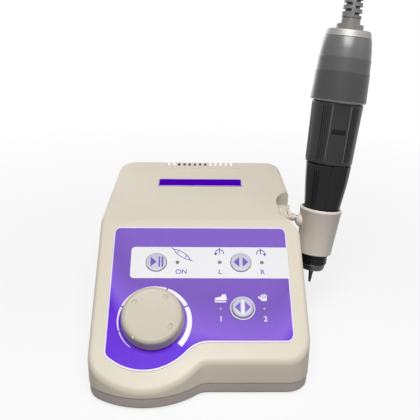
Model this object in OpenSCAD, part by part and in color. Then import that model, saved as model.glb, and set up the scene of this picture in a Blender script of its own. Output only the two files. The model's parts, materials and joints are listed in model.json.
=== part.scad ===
// Desktop nail drill: a wedge-shaped control box with its handpiece standing in a cup at the right side.
// Front is -Y, right is +X and up is +Z. The origin is on the table, under the middle of the whole object.

/* [Box] */
// Width of the box
body_w = 120; // [114:1:130]
// Depth of the box from its straight front wall to its rear wall
body_l = 153; // [148:1:165]
// How far the round lobe under the knob stands out in front
lobe_reach = 13; // [11:0.5:15]
// Radius of the lobe
lobe_r = 43.6; // [42:0.2:46]
// Distance of the lobe's centre from the left wall
lobe_inset = 30; // [29:0.5:32]
// Radius of the two front corners
corner_r = 13; // [11:0.5:15]
// Radius of the hollow curve between the lobe and the front wall
cove_r = 9; // [7:0.5:12]
// Radius of the two rear corners
rear_r = 11; // [8:0.5:14]
// Width of the rear wall
rear_w = 111; // [106:1:114]
// Wall thickness of the mouldings
wall = 2.4; // [2:0.1:2.8]
// Height of the parting line above the table
parting_z = 8.5; // [8:0.5:10]
// Thickness of the base's floor
floor_t = 2.2; // [1.8:0.1:2.6]
// How far the rubber feet stand out below the base
foot_stand = 1.2; // [0.8:0.1:1.8]

/* [Deck and top] */
// Slope of the control deck
deck_tilt = 35.5; // [34:0.5:37]
// Height of the deck above the straight front wall
deck_front_z = 22; // [21:0.5:25]
// Depth from the front wall to the crease between deck and top
deck_run = 72.4; // [71:0.2:75]
// Slope of the top, rising towards the rear
top_rise = 8; // [6:0.5:10]
// Width of the plain border round the printed panel
panel_border = 8.7; // [8:0.1:9.5]
// Length of the printed panel up the slope of the deck
panel_len = 72.4; // [70:0.2:74]
// Thickness of the printed panel
panel_t = 0.45; // [0.3:0.05:0.6]
// Depth of the seat that the printed panel lies in
panel_seat = 0.3; // [0.2:0.05:0.4]
// Length of the bare label on the top
label_w = 56; // [50:1:60]
// Depth of the bare label on the top
label_d = 10.5; // [8:0.5:12]
// Number of vent slots along the rear edge
vent_count = 13; // [9:2:15]
// Spacing of the vent slots
vent_pitch = 3.7; // [3.4:0.1:4]
// Width of a vent slot
vent_w = 1.8; // [1.4:0.1:2]

/* [Controls] */
// Diameter of the speed knob
knob_d = 34.8; // [32:0.2:36]
// Height of the knob's top above the deck
knob_h = 9.4; // [9:0.1:11]
// Diameter of the knob's shaft
knob_shaft_d = 6; // [5.5:0.1:6.35]
// Diameter of the push buttons
button_d = 11.8; // [11:0.1:12.6]
// Travel of the push buttons
button_travel = 0.8; // [0.5:0.1:1]
// How far the two upper buttons stand out of the deck
button_rise = 0.9; // [0.6:0.1:1.4]
// How far the lower button stands out of the deck
mode_rise = 2.2; // [1.6:0.1:3]
// Diameter of an indicator light
led_d = 2; // [1.6:0.1:2.4]
// Depth of the control board below the deck
board_n = 12.2; // [12:0.1:13]
// Thickness of the circuit boards
board_t = 1.6; // [1.2:0.1:2]

/* [Holder] */
// Lean of the handpiece towards the rear
lean_back = 8.5; // [6:0.5:11]
// Lean of the handpiece away from the box
lean_out = 6; // [4:0.5:8]
// Length of the cup
cup_len = 29.5; // [27:0.5:31]
// Wall thickness of the cup
cup_wall = 1.2; // [1:0.1:1.6]
// Room between the handpiece and the cup
cup_gap = 0.35; // [0.3:0.05:0.5]
// Diameter of the pin that the cup tilts on
pivot_d = 3; // [2.6:0.1:3.4]
// Diameter of the knuckle on the cup
knuckle_d = 6.4; // [6:0.1:7]
// Depth of the notch in the right side of the box
notch_d = 9; // [8:0.5:10]
// Height of the bracket's plate
plate_z = 74.8; // [74:0.1:75.4]

/* [Handpiece] */
// Diameter of the front grip where it meets the nose ring
grip_d0 = 17; // [16.4:0.1:17.4]
// Diameter of the front grip at its upper end
grip_d1 = 28.4; // [28:0.1:29]
// Length of the front grip above the cup's rim
grip_top = 28.2; // [27.5:0.1:29]
// Length of the twist ring
twist_len = 37; // [35:0.5:39]
// Diameter of the twist ring at its upper end
twist_d1 = 31; // [30.4:0.1:31.6]
// Length of the rear sleeve
sleeve_len = 37.4; // [36:0.2:39]
// Diameter of the rear sleeve at its lower end
sleeve_d0 = 33.4; // [32.6:0.1:34.2]
// Diameter of the rear sleeve at its upper end
sleeve_d1 = 27.6; // [27:0.1:28.4]
// Diameter of the motor can
motor_d = 24.4; // [23.8:0.1:24.8]
// Diameter of the spindle in its bearings
spindle_d = 5; // [4.6:0.1:5.2]
// Diameter of the spindle bearings
bearing_d = 13; // [12.6:0.1:13.4]
// Diameter of the shank of the bit
bit_d = 2.35; // [2.2:0.01:2.4]
// How far the bit reaches below the nose
bit_reach = 9.4; // [8:0.2:12]
// Length of the slotted boot
boot_len = 37; // [33:0.5:40]
// Diameter of the boot at its root
boot_d = 11.6; // [11:0.1:12]

/* [Cord] */
// Diameter of the handpiece cord
cord_d = 4; // [3.6:0.1:4.2]
// Spacing of the coil's turns
coil_pitch = 4.7; // [4.7:0.1:5]
// Radius of the coil's outer turn
coil_r = 28; // [27.5:0.5:29]

/* [Fits] */
// Gap between pieces that move past each other
run_gap = 0.4; // [0.3:0.05:0.5]
// Gap round pieces that are fixed in a seat
seat_gap = 0.1; // [0.05:0.01:0.15]
// Radial clearance of shafts and pins that turn in a bore
shaft_gap = 0.05; // [0.02:0.01:0.08]

/* [Hidden] */
$fn = 48;

beige = [0.86, 0.81, 0.74];
shade_beige = [0.70, 0.65, 0.60];
purple = [0.42, 0.27, 0.80];
pale_grey = [0.80, 0.79, 0.84];
black = [0.10, 0.10, 0.11];
dark_grey = [0.30, 0.30, 0.32];
mid_grey = [0.42, 0.42, 0.44];
silver = [0.75, 0.75, 0.76];
brass = [0.78, 0.64, 0.35];
copper = [0.72, 0.42, 0.24];
board_green = [0.12, 0.38, 0.24];

// Plan of the box
front_y = lobe_reach - (body_l + lobe_reach) / 2;
rear_y = front_y + body_l;
half_w = body_w / 2;
lobe_c = [lobe_inset - half_w, front_y - lobe_reach + lobe_r];
crease_y = front_y + deck_run;
taper = atan((body_w - rear_w) / 2 / (rear_y - crease_y));
crease_z = deck_z(crease_y);
panel_y = front_y + panel_border;
panel_z = deck_z(panel_y);
over = 1;
tall = 120;

function deck_z(y) = deck_front_z + (y - front_y) * tan(deck_tilt);
function top_z(y) = crease_z + (y - crease_y) * tan(top_rise);
function dir(a) = [cos(a), sin(a)];
function arc(c, r, a0, a1, n) = [for (k = [0:n]) c + r * dir(a0 + (a1 - a0) * k / n)];
function angle_of(v) = atan2(v[1], v[0]);

// Front half of the outline, drawn in by i, from the left corner round the lobe to the right corner
function left_c() = let (x = corner_r - half_w, d = x - lobe_c[0])
    [x, lobe_c[1] - sqrt(pow(lobe_r - corner_r, 2) - d * d)];
function cove_c() = let (y = front_y - cove_r, d = y - lobe_c[1])
    [lobe_c[0] + sqrt(pow(lobe_r + cove_r, 2) - d * d), y];
function front_outline(i) =
    let (lc = left_c(), cc = cove_c(), al = angle_of(lc - lobe_c), ac = angle_of(cc - lobe_c))
    concat(arc(lc, corner_r - i, -180, al, 5), arc(lobe_c, lobe_r - i, al + 4, ac - 4, 12),
        arc(cc, cove_r + i, ac + 180, 90, 6), arc([half_w - corner_r, front_y + corner_r], corner_r - i,
            -90, 0, 8));
function rear_c() = let (y = rear_y - rear_r) [half_w - (y - crease_y) * tan(taper)
    - rear_r / cos(taper), y];
function outline(i) = let (c = rear_c())
    concat(front_outline(i), [[half_w - i, crease_y]], arc(c, rear_r - i, taper, 90, 7),
        arc([-c[0], c[1]], rear_r - i, 90, 180 - taper, 7), [[i - half_w, crease_y]]);

// Printed panel in plan
panel_corner = 3.6;
panel_top_y = panel_y + panel_len * cos(deck_tilt);
function panel_outline(i) = let (b = panel_border + i, r = panel_corner - i, x = half_w - b - r,
    y = panel_top_y - i - r)
    concat(front_outline(b), arc([x, y], r, 0, 90, 5), arc([-x, y], r, 90, 180, 5));

// The origin lies under the middle of the whole object, so the box stands to the left of it
middle = [20.6, 2.1, 0];
module stand() translate(-middle) children();

// Frames: the deck with its origin at the panel's lower edge, the top at the crease, and the cup at its rim
module on_deck(x = 0, s = 0, n = 0) translate([0, panel_y, panel_z]) rotate([deck_tilt, 0, 0])
    translate([x, s, n]) children();
module on_top(x = 0, s = 0) translate([0, crease_y, crease_z]) rotate([top_rise, 0, 0])
    translate([x, s, 0]) children();
cup_pos = [half_w + 16, crease_y + 14.6, plate_z + 1.2];
module in_cup(w = 0) translate(cup_pos) rotate([-lean_back, lean_out, 0]) translate([0, 0, w]) children();
module along_x() rotate([0, 90, 0]) children();
module along_y() rotate([-90, 0, 0]) children();
module tube(r, r_in, z0, z1) translate([0, 0, z0]) difference() {
    cylinder(r = r, h = z1 - z0);
    translate([0, 0, -over]) cylinder(r = r_in, h = z1 - z0 + 2 * over);
}
module turned(points) rotate_extrude() polygon(points);

// Solid under the deck and top planes, lowered by i
module under_skin(i) {
    y0 = front_y - lobe_reach - over;
    y1 = rear_y + over;
    a = i / cos(deck_tilt);
    b = i / cos(top_rise);
    yc = crease_y + (a - b) / (tan(deck_tilt) - tan(top_rise));
    translate([-body_w, 0, 0]) rotate([90, 0, 90]) linear_extrude(2 * body_w)
        polygon([[y0, 0], [y1, 0], [y1, top_z(y1) - b], [yc, top_z(yc) - b], [y0, deck_z(y0) - a]]);
}
module prism(points, z0, z1) translate([0, 0, z0]) linear_extrude(z1 - z0) polygon(points);

// Notch in the right side that takes the bracket
notch_x = half_w - notch_d - 2.5;
notch_y0 = crease_y + 6.6;
notch_y1 = crease_y + 21.6;
notch_slope_y = 14;
notch_floor_z = 50;
function notch_outline(g) = [[notch_x - g, notch_y0 - g], [half_w + g, notch_y0 - notch_slope_y - g],
    [half_w + 20, notch_y0 - notch_slope_y - g],
    [half_w + 20, notch_y1 + notch_slope_y + g], [half_w + g, notch_y1 + notch_slope_y + g],
        [notch_x - g, notch_y1 + g]];

// Screw posts, feet and base screws
post_d = 7.4;
screw_d = 2.9;
screw_head_d = 5.4;
screw_head_h = 2.2;
post_bore = screw_d + 2 * seat_gap;
post_reach = 7;
head_gap = 0.05;
bore_end = 0.3;
core_screw_in = 1.2;
supply_screw_in = 5;
well_gap = 1;
cross_w = 0.8;
cross_d = 1.2;
base_floor_z = foot_stand + floor_t;
base_head_z = foot_stand + screw_head_h + well_gap;
posts = [[-half_w + 13, front_y + 18], [half_w - 13, front_y + 18], [-half_w + 13, rear_y - 14],
    [half_w - 13, rear_y - 14]];
feet = [[-half_w + 22, front_y + 4], [half_w - 20, front_y + 12], [-half_w + 25, rear_y - 14],
    [half_w - 25, rear_y - 14]];
foot_d = 12;
foot_seat = 0.5;
lip_t = 1.2;
lip_h = 2;
lip_gap = 0.2;
joint_gap = 0.2;
base_inset = 0.4;

// Controls on the deck: x across and s up the slope from the panel's lower edge
knob_at = [-26, 12.5];
run_at = [-25.5, 48.5];
direction_at = [23.5, 48.5];
mode_at = [23.5, 19.7];
led_side = 12.2;
leds = [run_at + [led_side, 0], direction_at - [led_side, 0], direction_at + [led_side, 0],
    mode_at - [led_side, 0], mode_at + [led_side, 0]];
button_gap = 0.3;
bush_d = 7;
panel_top_n = panel_t - panel_seat;
board_s0 = 3;
board_s1 = 62;
board_gap = 0.6;
board_x1 = posts[1][0] - post_d / 2 - board_gap;
board_x0 = -board_x1;
board_inset = 4;
board_posts = [[board_x0 + board_inset, board_s0 + 30], [board_x1 - board_inset, board_s0 + board_inset],
    [board_x0 + board_inset, board_s1 - board_inset], [board_x1 - board_inset, board_s1 - board_inset]];
board_post_d = 6;
pot_d = 16.8;
switch_w = 6;
switch_h = 3.5;
stem_d = 3.4;
stem_gap = 0.2;
led_rise = 0.15;
led_base = [3, 2];
flange_d = button_d + 2.4;
flange_t = 1.2;

// Rear wall: x and z of what is fixed there
rear_row_z = 52;
switch_at = [27.5 - rear_w / 2, rear_row_z];
inlet_at = [8, rear_row_z];
jack_at = [rear_w / 2 - 21.5, rear_row_z];
socket_at = [19.5 - rear_w / 2, 17];
switch_body = [12.8, 20.8];
inlet_body = [22, 11];
socket_d = 13;
jack_d = 7.8;
jack_bore_d = 3.6;

// What stands on the base, set in from the base's side walls
function inside_x(y) = half_w - max(0, y - crease_y) * tan(taper) - wall - lip_gap - lip_t;
wall_room = 1;
core = [50, 40, 34];
core_leg = 11;
core_pole = 9;
core_yoke = 8;
core_ear = [6.5, 10, 1.2];
core_hole_in = 3;
core_y = crease_y + 19.6;
core_at = [wall_room + core_ear[0] + core[0] / 2 - inside_x(core_y + core_ear[1] / 2), core_y];
window_w = (core[0] - 2 * core_leg - core_pole) / 2;
window_x = (core_pole + window_w) / 2;
winding_gap = 0.3;
winding_out = 8.6;
supply = [34, 56];
supply_room = 3;
supply_lift = 5;
supply_inset = 4;
supply_y = crease_y + 11.6;
supply_at = [inside_x(supply_y + supply[1] / 2) - supply_room - supply[0] / 2, supply_y];
supply_z = base_floor_z + supply_lift;
supply_post_d = 6;
supply_posts = [for (x = [-1, 1], y = [-1, 1])
    supply_at + [x * (supply[0] / 2 - supply_inset), y * (supply[1] / 2 - supply_inset)]];

module upper_housing() color(beige) stand() difference() {
    union() {
        difference() {
            intersection() {
                prism(outline(0), parting_z, tall);
                under_skin(0);
            }
            difference() {
                intersection() {
                    prism(outline(wall), parting_z - over, tall);
                    under_skin(wall);
                }
                prism(notch_outline(wall), notch_floor_z - wall, tall);
            }
        }
        intersection() {
            union() {
                for (p = posts) translate([p[0], p[1], parting_z]) cylinder(d = post_d, h = tall);
                for (p = board_posts) on_deck(p[0], p[1], -board_n)
                    cylinder(d = board_post_d, h = board_n - wall / 2);
            }
            under_skin(wall / 2);
        }
        bracket_bosses();
    }
    prism(notch_outline(0), notch_floor_z, tall);
    for (p = posts) translate([p[0], p[1], parting_z - over]) cylinder(d = post_bore, h = post_reach + 3);
    for (p = board_posts) on_deck(p[0], p[1], -board_n - over)
        cylinder(d = post_bore, h = post_reach + over);
    panel_recess();
    deck_holes();
    label_recess();
    vents();
    rear_holes();
    for (p = bracket_screw_at) translate([notch_x - boss_reach - over, p[0], p[1]]) along_x()
        cylinder(d = post_bore, h = boss_reach + 2 * over);
}

module panel_recess() intersection() {
    prism(panel_outline(-seat_gap), parting_z, tall);
    on_deck(0, 0, -panel_seat) translate([-body_w, -body_l, 0]) cube([2 * body_w, 2 * body_l, tall]);
}

module deck_holes() {
    on_deck(knob_at[0], knob_at[1], -2 * wall) cylinder(d = bush_d + 2 * seat_gap, h = 4 * wall);
    for (p = [run_at, direction_at, mode_at]) on_deck(p[0], p[1], -2 * wall)
        cylinder(d = button_d + 2 * button_gap, h = 4 * wall);
    for (p = leds) on_deck(p[0], p[1], -2 * wall) cylinder(d = led_d + 2 * seat_gap, h = 4 * wall);
}

label_t = 0.4;
label_seat = 0.2;
label_s = 48;
module label_recess() on_top(0, label_s) translate([-label_w / 2 - seat_gap, -label_d / 2 - seat_gap,
    -label_seat])
    cube([label_w + 2 * seat_gap, label_d + 2 * seat_gap, over]);

vent_len = 7;
vent_drop = 13;
module vents() for (k = [0:vent_count - 1]) translate([(k - (vent_count - 1) / 2) * vent_pitch, 0, 0])
    translate([-vent_w / 2, rear_y - vent_len, top_z(rear_y) - vent_drop])
        cube([vent_w, vent_len + over, tall]);

module rear_holes() {
    rear_box(switch_at, switch_body[0] + 2 * seat_gap, switch_body[1] + 2 * seat_gap);
    rear_box(inlet_at, inlet_body[0] + 2 * seat_gap, inlet_body[1] + 2 * seat_gap);
    rear_bore(socket_at, socket_d + 2 * seat_gap);
    rear_bore(jack_at, jack_d + 2 * seat_gap);
}
module rear_box(p, w, h) translate([p[0] - w / 2, rear_y - 2 * wall, p[1] - h / 2])
    cube([w, 4 * wall, h]);
module rear_bore(p, d) translate([p[0], rear_y - 2 * wall, p[1]]) along_y() cylinder(d = d, h = 4 * wall);

bracket_screw_at = [[notch_y0 + 3.5, 62], [notch_y1 - 3.5, 62]];
boss_reach = 8;
module bracket_bosses() for (p = bracket_screw_at) translate([notch_x - boss_reach, p[0], p[1]])
    along_x() cylinder(d = post_d, h = boss_reach - wall / 2);

module base_cover() color(shade_beige) stand() difference() {
    union() {
        difference() {
            prism(outline(base_inset), foot_stand, parting_z - joint_gap);
            prism(outline(wall + lip_gap + lip_t), base_floor_z, tall);
        }
        difference() {
            prism(outline(wall + lip_gap), base_floor_z, parting_z + lip_h);
            prism(outline(wall + lip_gap + lip_t), base_floor_z - over, tall);
        }
        for (p = posts) translate([p[0], p[1], foot_stand])
            cylinder(d = post_d, h = parting_z - joint_gap - foot_stand);
        for (p = supply_posts) translate([p[0], p[1], foot_stand])
            cylinder(d = supply_post_d, h = supply_z - foot_stand);
    }
    for (p = posts) translate([p[0], p[1], 0]) {
        cylinder(d = post_bore, h = tall);
        cylinder(d = screw_head_d + well_gap, h = base_head_z);
    }
    for (p = feet) translate([p[0], p[1], 0]) cylinder(d = foot_d + 2 * seat_gap,
        h = foot_stand + foot_seat);
    for (p = supply_posts) translate([p[0], p[1], supply_z - supply_screw_in - bore_end])
        cylinder(d = post_bore, h = tall);
    for (p = core_screw_at()) translate([p[0], p[1], base_floor_z - core_screw_in - bore_end])
        cylinder(d = post_bore, h = tall);
}

foot_edge = 0.6;
module rubber_feet() color(dark_grey) stand() for (p = feet) translate([p[0], p[1], 0])
    turned([[0, 0], [foot_d / 2 - foot_edge, 0],
    [foot_d / 2, foot_edge], [foot_d / 2, foot_stand + foot_seat], [0, foot_stand + foot_seat]]);

// Screw with its head below the origin and its shank up along Z
module screw(len) {
    translate([0, 0, -screw_head_h]) difference() {
        cylinder(d = screw_head_d, h = screw_head_h);
        for (a = [0, 90]) rotate([0, 0, a]) translate([-screw_head_d / 3, -cross_w / 2, -over])
            cube([screw_head_d / 1.5, cross_w, cross_d + over]);
    }
    translate([0, 0, -screw_head_h / 4]) cylinder(d = screw_d, h = len + screw_head_h / 4);
}
module base_screws() color(silver) stand() for (p = posts)
    translate([p[0], p[1], base_head_z - head_gap])
    screw(parting_z - base_head_z + post_reach);

module panel_overlay() color(purple) stand() difference() {
    intersection() {
        prism(panel_outline(0), parting_z, tall);
        on_deck(0, 0, -panel_seat) translate([-body_w, -body_l, 0])
            cube([2 * body_w, 2 * body_l, panel_t]);
    }
    deck_holes();
}

module top_label() color(purple) stand() on_top(0, label_s)
    translate([-label_w / 2, -label_d / 2, -label_seat]) cube([label_w, label_d, label_t]);

// Speed knob: a dished cap with finger dents, a pointer and a hub on the shaft
knob_r = knob_d / 2;
knob_foot = panel_top_n + run_gap + 0.2;
knob_round = 2.6;
knob_skin = 2.6;
dish_r = 13.4;
dish_depth = 0.5;
dish_edge = 1.2;
dent_r = 2.4;
dent_up = 1.2;
dent_in = 1.6;
pointer = [2.6, 1, 1.5];
pointer_up = 0.3;
nut_t = 2.2;
nut_d = 11;
shaft_end = 3.5;
hub_n = panel_top_n + nut_t + 2 * run_gap;
hub_d = 11;
module speed_knob() color(beige) stand() on_deck(knob_at[0], knob_at[1]) difference() {
    union() {
        turned(concat([[0, hub_n], [hub_d / 2, hub_n], [hub_d / 2, knob_h - knob_skin],
            [knob_r - knob_skin, knob_h - knob_skin],
            [knob_r - knob_skin, knob_foot], [knob_r, knob_foot]],
            arc([knob_r - knob_round, knob_h - knob_round], knob_round, 0, 90, 6),
            [[dish_r, knob_h], [dish_r - dish_edge, knob_h - dish_depth], [0, knob_h - dish_depth]]));
        rotate([0, 0, pointer_a])
            translate([dish_r - 0.2, -pointer[1] / 2, knob_h + pointer_up - pointer[2]]) cube(pointer);
    }
    translate([0, 0, hub_n - over]) cylinder(d = knob_shaft_d + 2 * shaft_gap,
        h = knob_h - shaft_end + bore_end - hub_n + over);
    for (a = [90, 180, 270]) rotate([0, 0, a + pointer_a])
        translate([dish_r - dent_in, 0, knob_h + dent_up]) sphere(r = dent_r);
}
pointer_a = -125;

shaft_up = 1;
module knob_shaft() color(silver) stand() on_deck(knob_at[0], knob_at[1])
    translate([0, 0, board_t + shaft_up - board_n])
    cylinder(d = knob_shaft_d, h = board_n - board_t - shaft_up + knob_h - shaft_end);

module potentiometer() color(mid_grey) stand() on_deck(knob_at[0], knob_at[1]) difference() {
    union() {
        translate([0, 0, seat_gap - board_n]) cylinder(d = pot_d, h = board_n - wall - 2 * seat_gap);
        translate([0, 0, -wall - 2 * seat_gap]) cylinder(d = bush_d, h = wall + panel_top_n + nut_t);
    }
    translate([0, 0, board_t - board_n]) cylinder(d = knob_shaft_d + 2 * shaft_gap, h = tall);
}

module potentiometer_nut() color(silver) stand() on_deck(knob_at[0], knob_at[1], panel_top_n + head_gap)
    difference() {
    cylinder(d = nut_d, h = nut_t - 2 * head_gap, $fn = 6);
    translate([0, 0, -over]) cylinder(d = bush_d + 2 * seat_gap, h = nut_t + 2 * over);
}

// Push button: cap, flange under the deck and stem down to its switch
module push_button(p, rise) on_deck(p[0], p[1]) {
    translate([0, 0, -wall - run_gap - flange_t])
        cylinder(d = button_d, h = wall + run_gap + flange_t + rise);
    translate([0, 0, -wall - run_gap - flange_t]) cylinder(d = flange_d, h = flange_t);
    translate([0, 0, switch_h + stem_gap - board_n])
        cylinder(d = stem_d, h = board_n - switch_h - wall - run_gap - flange_t / 2);
}
module run_button() color(pale_grey) stand() push_button(run_at, button_rise);
module direction_button() color(pale_grey) stand() push_button(direction_at, button_rise);
module mode_button() color(pale_grey) stand() push_button(mode_at, mode_rise);

module push_switches() color(dark_grey) stand() for (p = [run_at, direction_at, mode_at])
    on_deck(p[0], p[1], -board_n) difference() {
    translate([-switch_w / 2, -switch_w / 2, 0]) cube([switch_w, switch_w, switch_h]);
    translate([0, 0, switch_h - button_travel - run_gap]) cylinder(d = stem_d + 2 * button_gap, h = tall);
}

module indicator_lights() color([0.55, 0.60, 0.52]) stand() for (p = leds) on_deck(p[0], p[1]) {
    translate([0, 0, -board_n]) cylinder(d = led_d, h = board_n + panel_top_n + led_rise);
    translate([0, 0, -board_n]) cylinder(d = led_base[0], h = led_base[1]);
}

module control_board() color(board_green) stand() on_deck(0, 0, -board_n - board_t) difference() {
    translate([board_x0, board_s0, 0]) cube([board_x1 - board_x0, board_s1 - board_s0, board_t]);
    for (p = board_posts) translate([p[0], p[1], -over]) cylinder(d = post_bore, h = board_t + 2 * over);
}

module control_board_screws() color(silver) stand() for (p = board_posts)
    on_deck(p[0], p[1], -board_n - board_t - head_gap) screw(post_reach - 2);

function core_screw_at() = [for (x = [-1, 1]) core_at + [x * (core[0] / 2 + core_hole_in), 0]];
module transformer_core() color(mid_grey) stand() translate([core_at[0], core_at[1], base_floor_z])
    difference() {
    union() {
        translate([-core[0] / 2, -core[1] / 2, 0]) cube(core);
        translate([-core[0] / 2 - core_ear[0], -core_ear[1] / 2, 0])
            cube([core[0] + 2 * core_ear[0], core_ear[1], core_ear[2]]);
    }
    for (x = [-1, 1]) translate([x * window_x - window_w / 2, -core[1], core_yoke])
        cube([window_w, 2 * core[1], core[2] - 2 * core_yoke]);
    for (x = [-1, 1]) translate([x * (core[0] / 2 + core_hole_in), 0, -over])
        cylinder(d = post_bore, h = core_ear[2] + 2 * over);
}
module transformer_winding() color(copper) stand()
    translate([core_at[0], core_at[1], base_floor_z + core_yoke + winding_gap]) difference() {
    x_out = core_pole / 2 + window_w - winding_gap;
    x_in = core_pole / 2 + winding_gap;
    h = core[2] - 2 * core_yoke - 2 * winding_gap;
    translate([-x_out, -core[1] / 2 - winding_out, 0]) cube([2 * x_out, core[1] + 2 * winding_out, h]);
    translate([-x_in, -core[1] / 2 - winding_gap, -over])
        cube([2 * x_in, core[1] + 2 * winding_gap, h + 2 * over]);
}
module transformer_screws() color(silver) stand() for (p = core_screw_at())
    translate([p[0], p[1], base_floor_z + core_ear[2] + head_gap]) mirror([0, 0, 1])
    screw(core_ear[2] + core_screw_in);

module power_board() color(board_green) stand() translate([supply_at[0], supply_at[1], supply_z])
    difference() {
    translate([-supply[0] / 2, -supply[1] / 2, 0]) cube([supply[0], supply[1], board_t]);
    for (p = supply_posts) translate([p[0] - supply_at[0], p[1] - supply_at[1], -over])
        cylinder(d = post_bore, h = board_t + 2 * over);
}
module power_board_screws() color(silver) stand() for (p = supply_posts)
    translate([p[0], p[1], supply_z + board_t + head_gap]) mirror([0, 0, 1])
    screw(board_t + supply_screw_in);
capacitor = [16, 25];
capacitor_edge = 0.6;
capacitor_groove = 2;
capacitor_at = supply_at + [-6, -14];
module filter_capacitor() color(dark_grey) stand()
    translate([capacitor_at[0], capacitor_at[1], supply_z + board_t]) {
    r = capacitor[0] / 2;
    r_in = r - capacitor_edge;
    turned([[0, 0], [r_in, 0], [r, capacitor_edge], [r, capacitor_groove - capacitor_edge],
        [r_in, capacitor_groove], [r, capacitor_groove + capacitor_edge],
        [r, capacitor[1] - capacitor_edge], [r_in, capacitor[1]], [0, capacitor[1]]]);
}
sink = [28, 10, 24];
sink_plate = 2;
fin_count = 7;
fin_t = 1.4;
sink_at = supply_at + [-sink[0] / 2, 8];
module heat_sink() color(silver) stand() translate([sink_at[0], sink_at[1], supply_z + board_t]) union() {
    cube([sink[0], sink_plate, sink[2]]);
    for (k = [0:fin_count - 1]) translate([k * (sink[0] - fin_t) / (fin_count - 1), sink_plate / 2, 0])
        cube([fin_t, sink[1] - sink_plate / 2, sink[2]]);
}

// Rear switch: body, rocker and the pin that the rocker turns on
switch_depth = 15;
switch_flange = [16, 1.8, 25];
inlet_flange = [28, 2, 16];
flange_in = 0.2;
rocker_y = rear_y - wall;
rocker_w = 10;
rocker_well = 10;
pin_end = 0.4;
rocker_tilt = 11;
well = [rocker_w + 2 * run_gap, 18.8];
rocker_pin_d = 2;
module power_switch() color(black) stand() translate([switch_at[0], 0, switch_at[1]]) difference() {
    union() {
        translate([-switch_body[0] / 2, rear_y - switch_depth, -switch_body[1] / 2])
            cube([switch_body[0], switch_depth + flange_in, switch_body[1]]);
        translate([-switch_flange[0] / 2, rear_y + head_gap, -switch_flange[2] / 2]) cube(switch_flange);
    }
    translate([-well[0] / 2, rear_y - rocker_well, -well[1] / 2]) cube([well[0], tall, well[1]]);
    translate([pin_end - switch_body[0] / 2, rocker_y, 0]) along_x()
        cylinder(d = rocker_pin_d + 2 * shaft_gap, h = switch_body[0] - 2 * pin_end);
}
module power_rocker() color(black) stand() translate([switch_at[0], rocker_y, switch_at[1]])
    rotate([rocker_tilt, 0, 0]) difference() {
    translate([-rocker_w / 2, 0, 0]) rotate([90, 0, 90]) linear_extrude(rocker_w)
        polygon([[-2.6, -3.6], [-2.6, 3.6], [2.4, 7.8], [5.2, 7.8], [4.2, 0], [5.2, -7.8], [2.4, -7.8]]);
    translate([-rocker_w, 0, 0]) along_x() cylinder(d = rocker_pin_d + 2 * shaft_gap, h = 2 * rocker_w);
}
module rocker_pin() color(silver) stand() translate([switch_at[0], rocker_y, switch_at[1]])
    along_x() translate([0, 0, pin_end + shaft_gap - switch_body[0] / 2])
    cylinder(d = rocker_pin_d, h = switch_body[0] - 2 * pin_end - 2 * shaft_gap);

// Figure-eight mains inlet with two pins
inlet_depth = 14;
inlet_pin_side = 4.3;
inlet_hole_r = 3.7;
inlet_back = 3;
inlet_pin_d = 2.4;
inlet_pin_in = 2;
module mains_inlet() color(black) stand() translate([inlet_at[0], rear_y, inlet_at[1]]) difference() {
    union() {
        translate([-inlet_body[0] / 2, -inlet_depth - inlet_back, -inlet_body[1] / 2])
            cube([inlet_body[0], inlet_depth + inlet_back + flange_in, inlet_body[1]]);
        translate([-inlet_flange[0] / 2, head_gap, -inlet_flange[2] / 2]) cube(inlet_flange);
    }
    for (x = [-1, 1]) translate([x * inlet_pin_side, -inlet_depth, 0]) along_y()
        cylinder(r = inlet_hole_r, h = tall);
    translate([-inlet_pin_side, -inlet_depth, -inlet_hole_r + 0.6])
        cube([2 * inlet_pin_side, tall, 2 * inlet_hole_r - 1.2]);
    for (x = [-1, 1]) translate([x * inlet_pin_side, -inlet_depth - inlet_pin_in, 0]) along_y()
        cylinder(d = inlet_pin_d + 2 * shaft_gap, h = tall);
}
module inlet_pins() color(silver) stand() for (x = [-1, 1])
    translate([inlet_at[0] + x * inlet_pin_side, rear_y - inlet_depth - inlet_pin_in + seat_gap, inlet_at[1]])
    along_y() cylinder(d = inlet_pin_d, h = inlet_depth);

socket_bore_d = 8.4;
socket_depth = 11;
socket_floor = 1.5;
socket_rim = [16, 1.4];
jack_floor = 1.65;
jack_rim = [11, 1.6];
module handpiece_socket() color(dark_grey) stand() translate([socket_at[0], rear_y, socket_at[1]])
    along_y() difference() {
    union() {
        translate([0, 0, -socket_depth]) cylinder(d = socket_d, h = socket_depth + flange_in);
        translate([0, 0, head_gap]) cylinder(d = socket_rim[0], h = socket_rim[1]);
    }
    translate([0, 0, socket_floor - socket_depth]) cylinder(d = socket_bore_d, h = tall);
}
jack_depth = 15;
module pedal_jack() color(black) stand() translate([jack_at[0], rear_y, jack_at[1]]) along_y()
    difference() {
    union() {
        translate([0, 0, -jack_depth]) cylinder(d = jack_d, h = jack_depth + flange_in);
        translate([0, 0, head_gap]) cylinder(d = jack_rim[0], h = jack_rim[1]);
    }
    translate([0, 0, jack_floor - jack_depth]) cylinder(d = jack_bore_d, h = tall);
}

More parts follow.
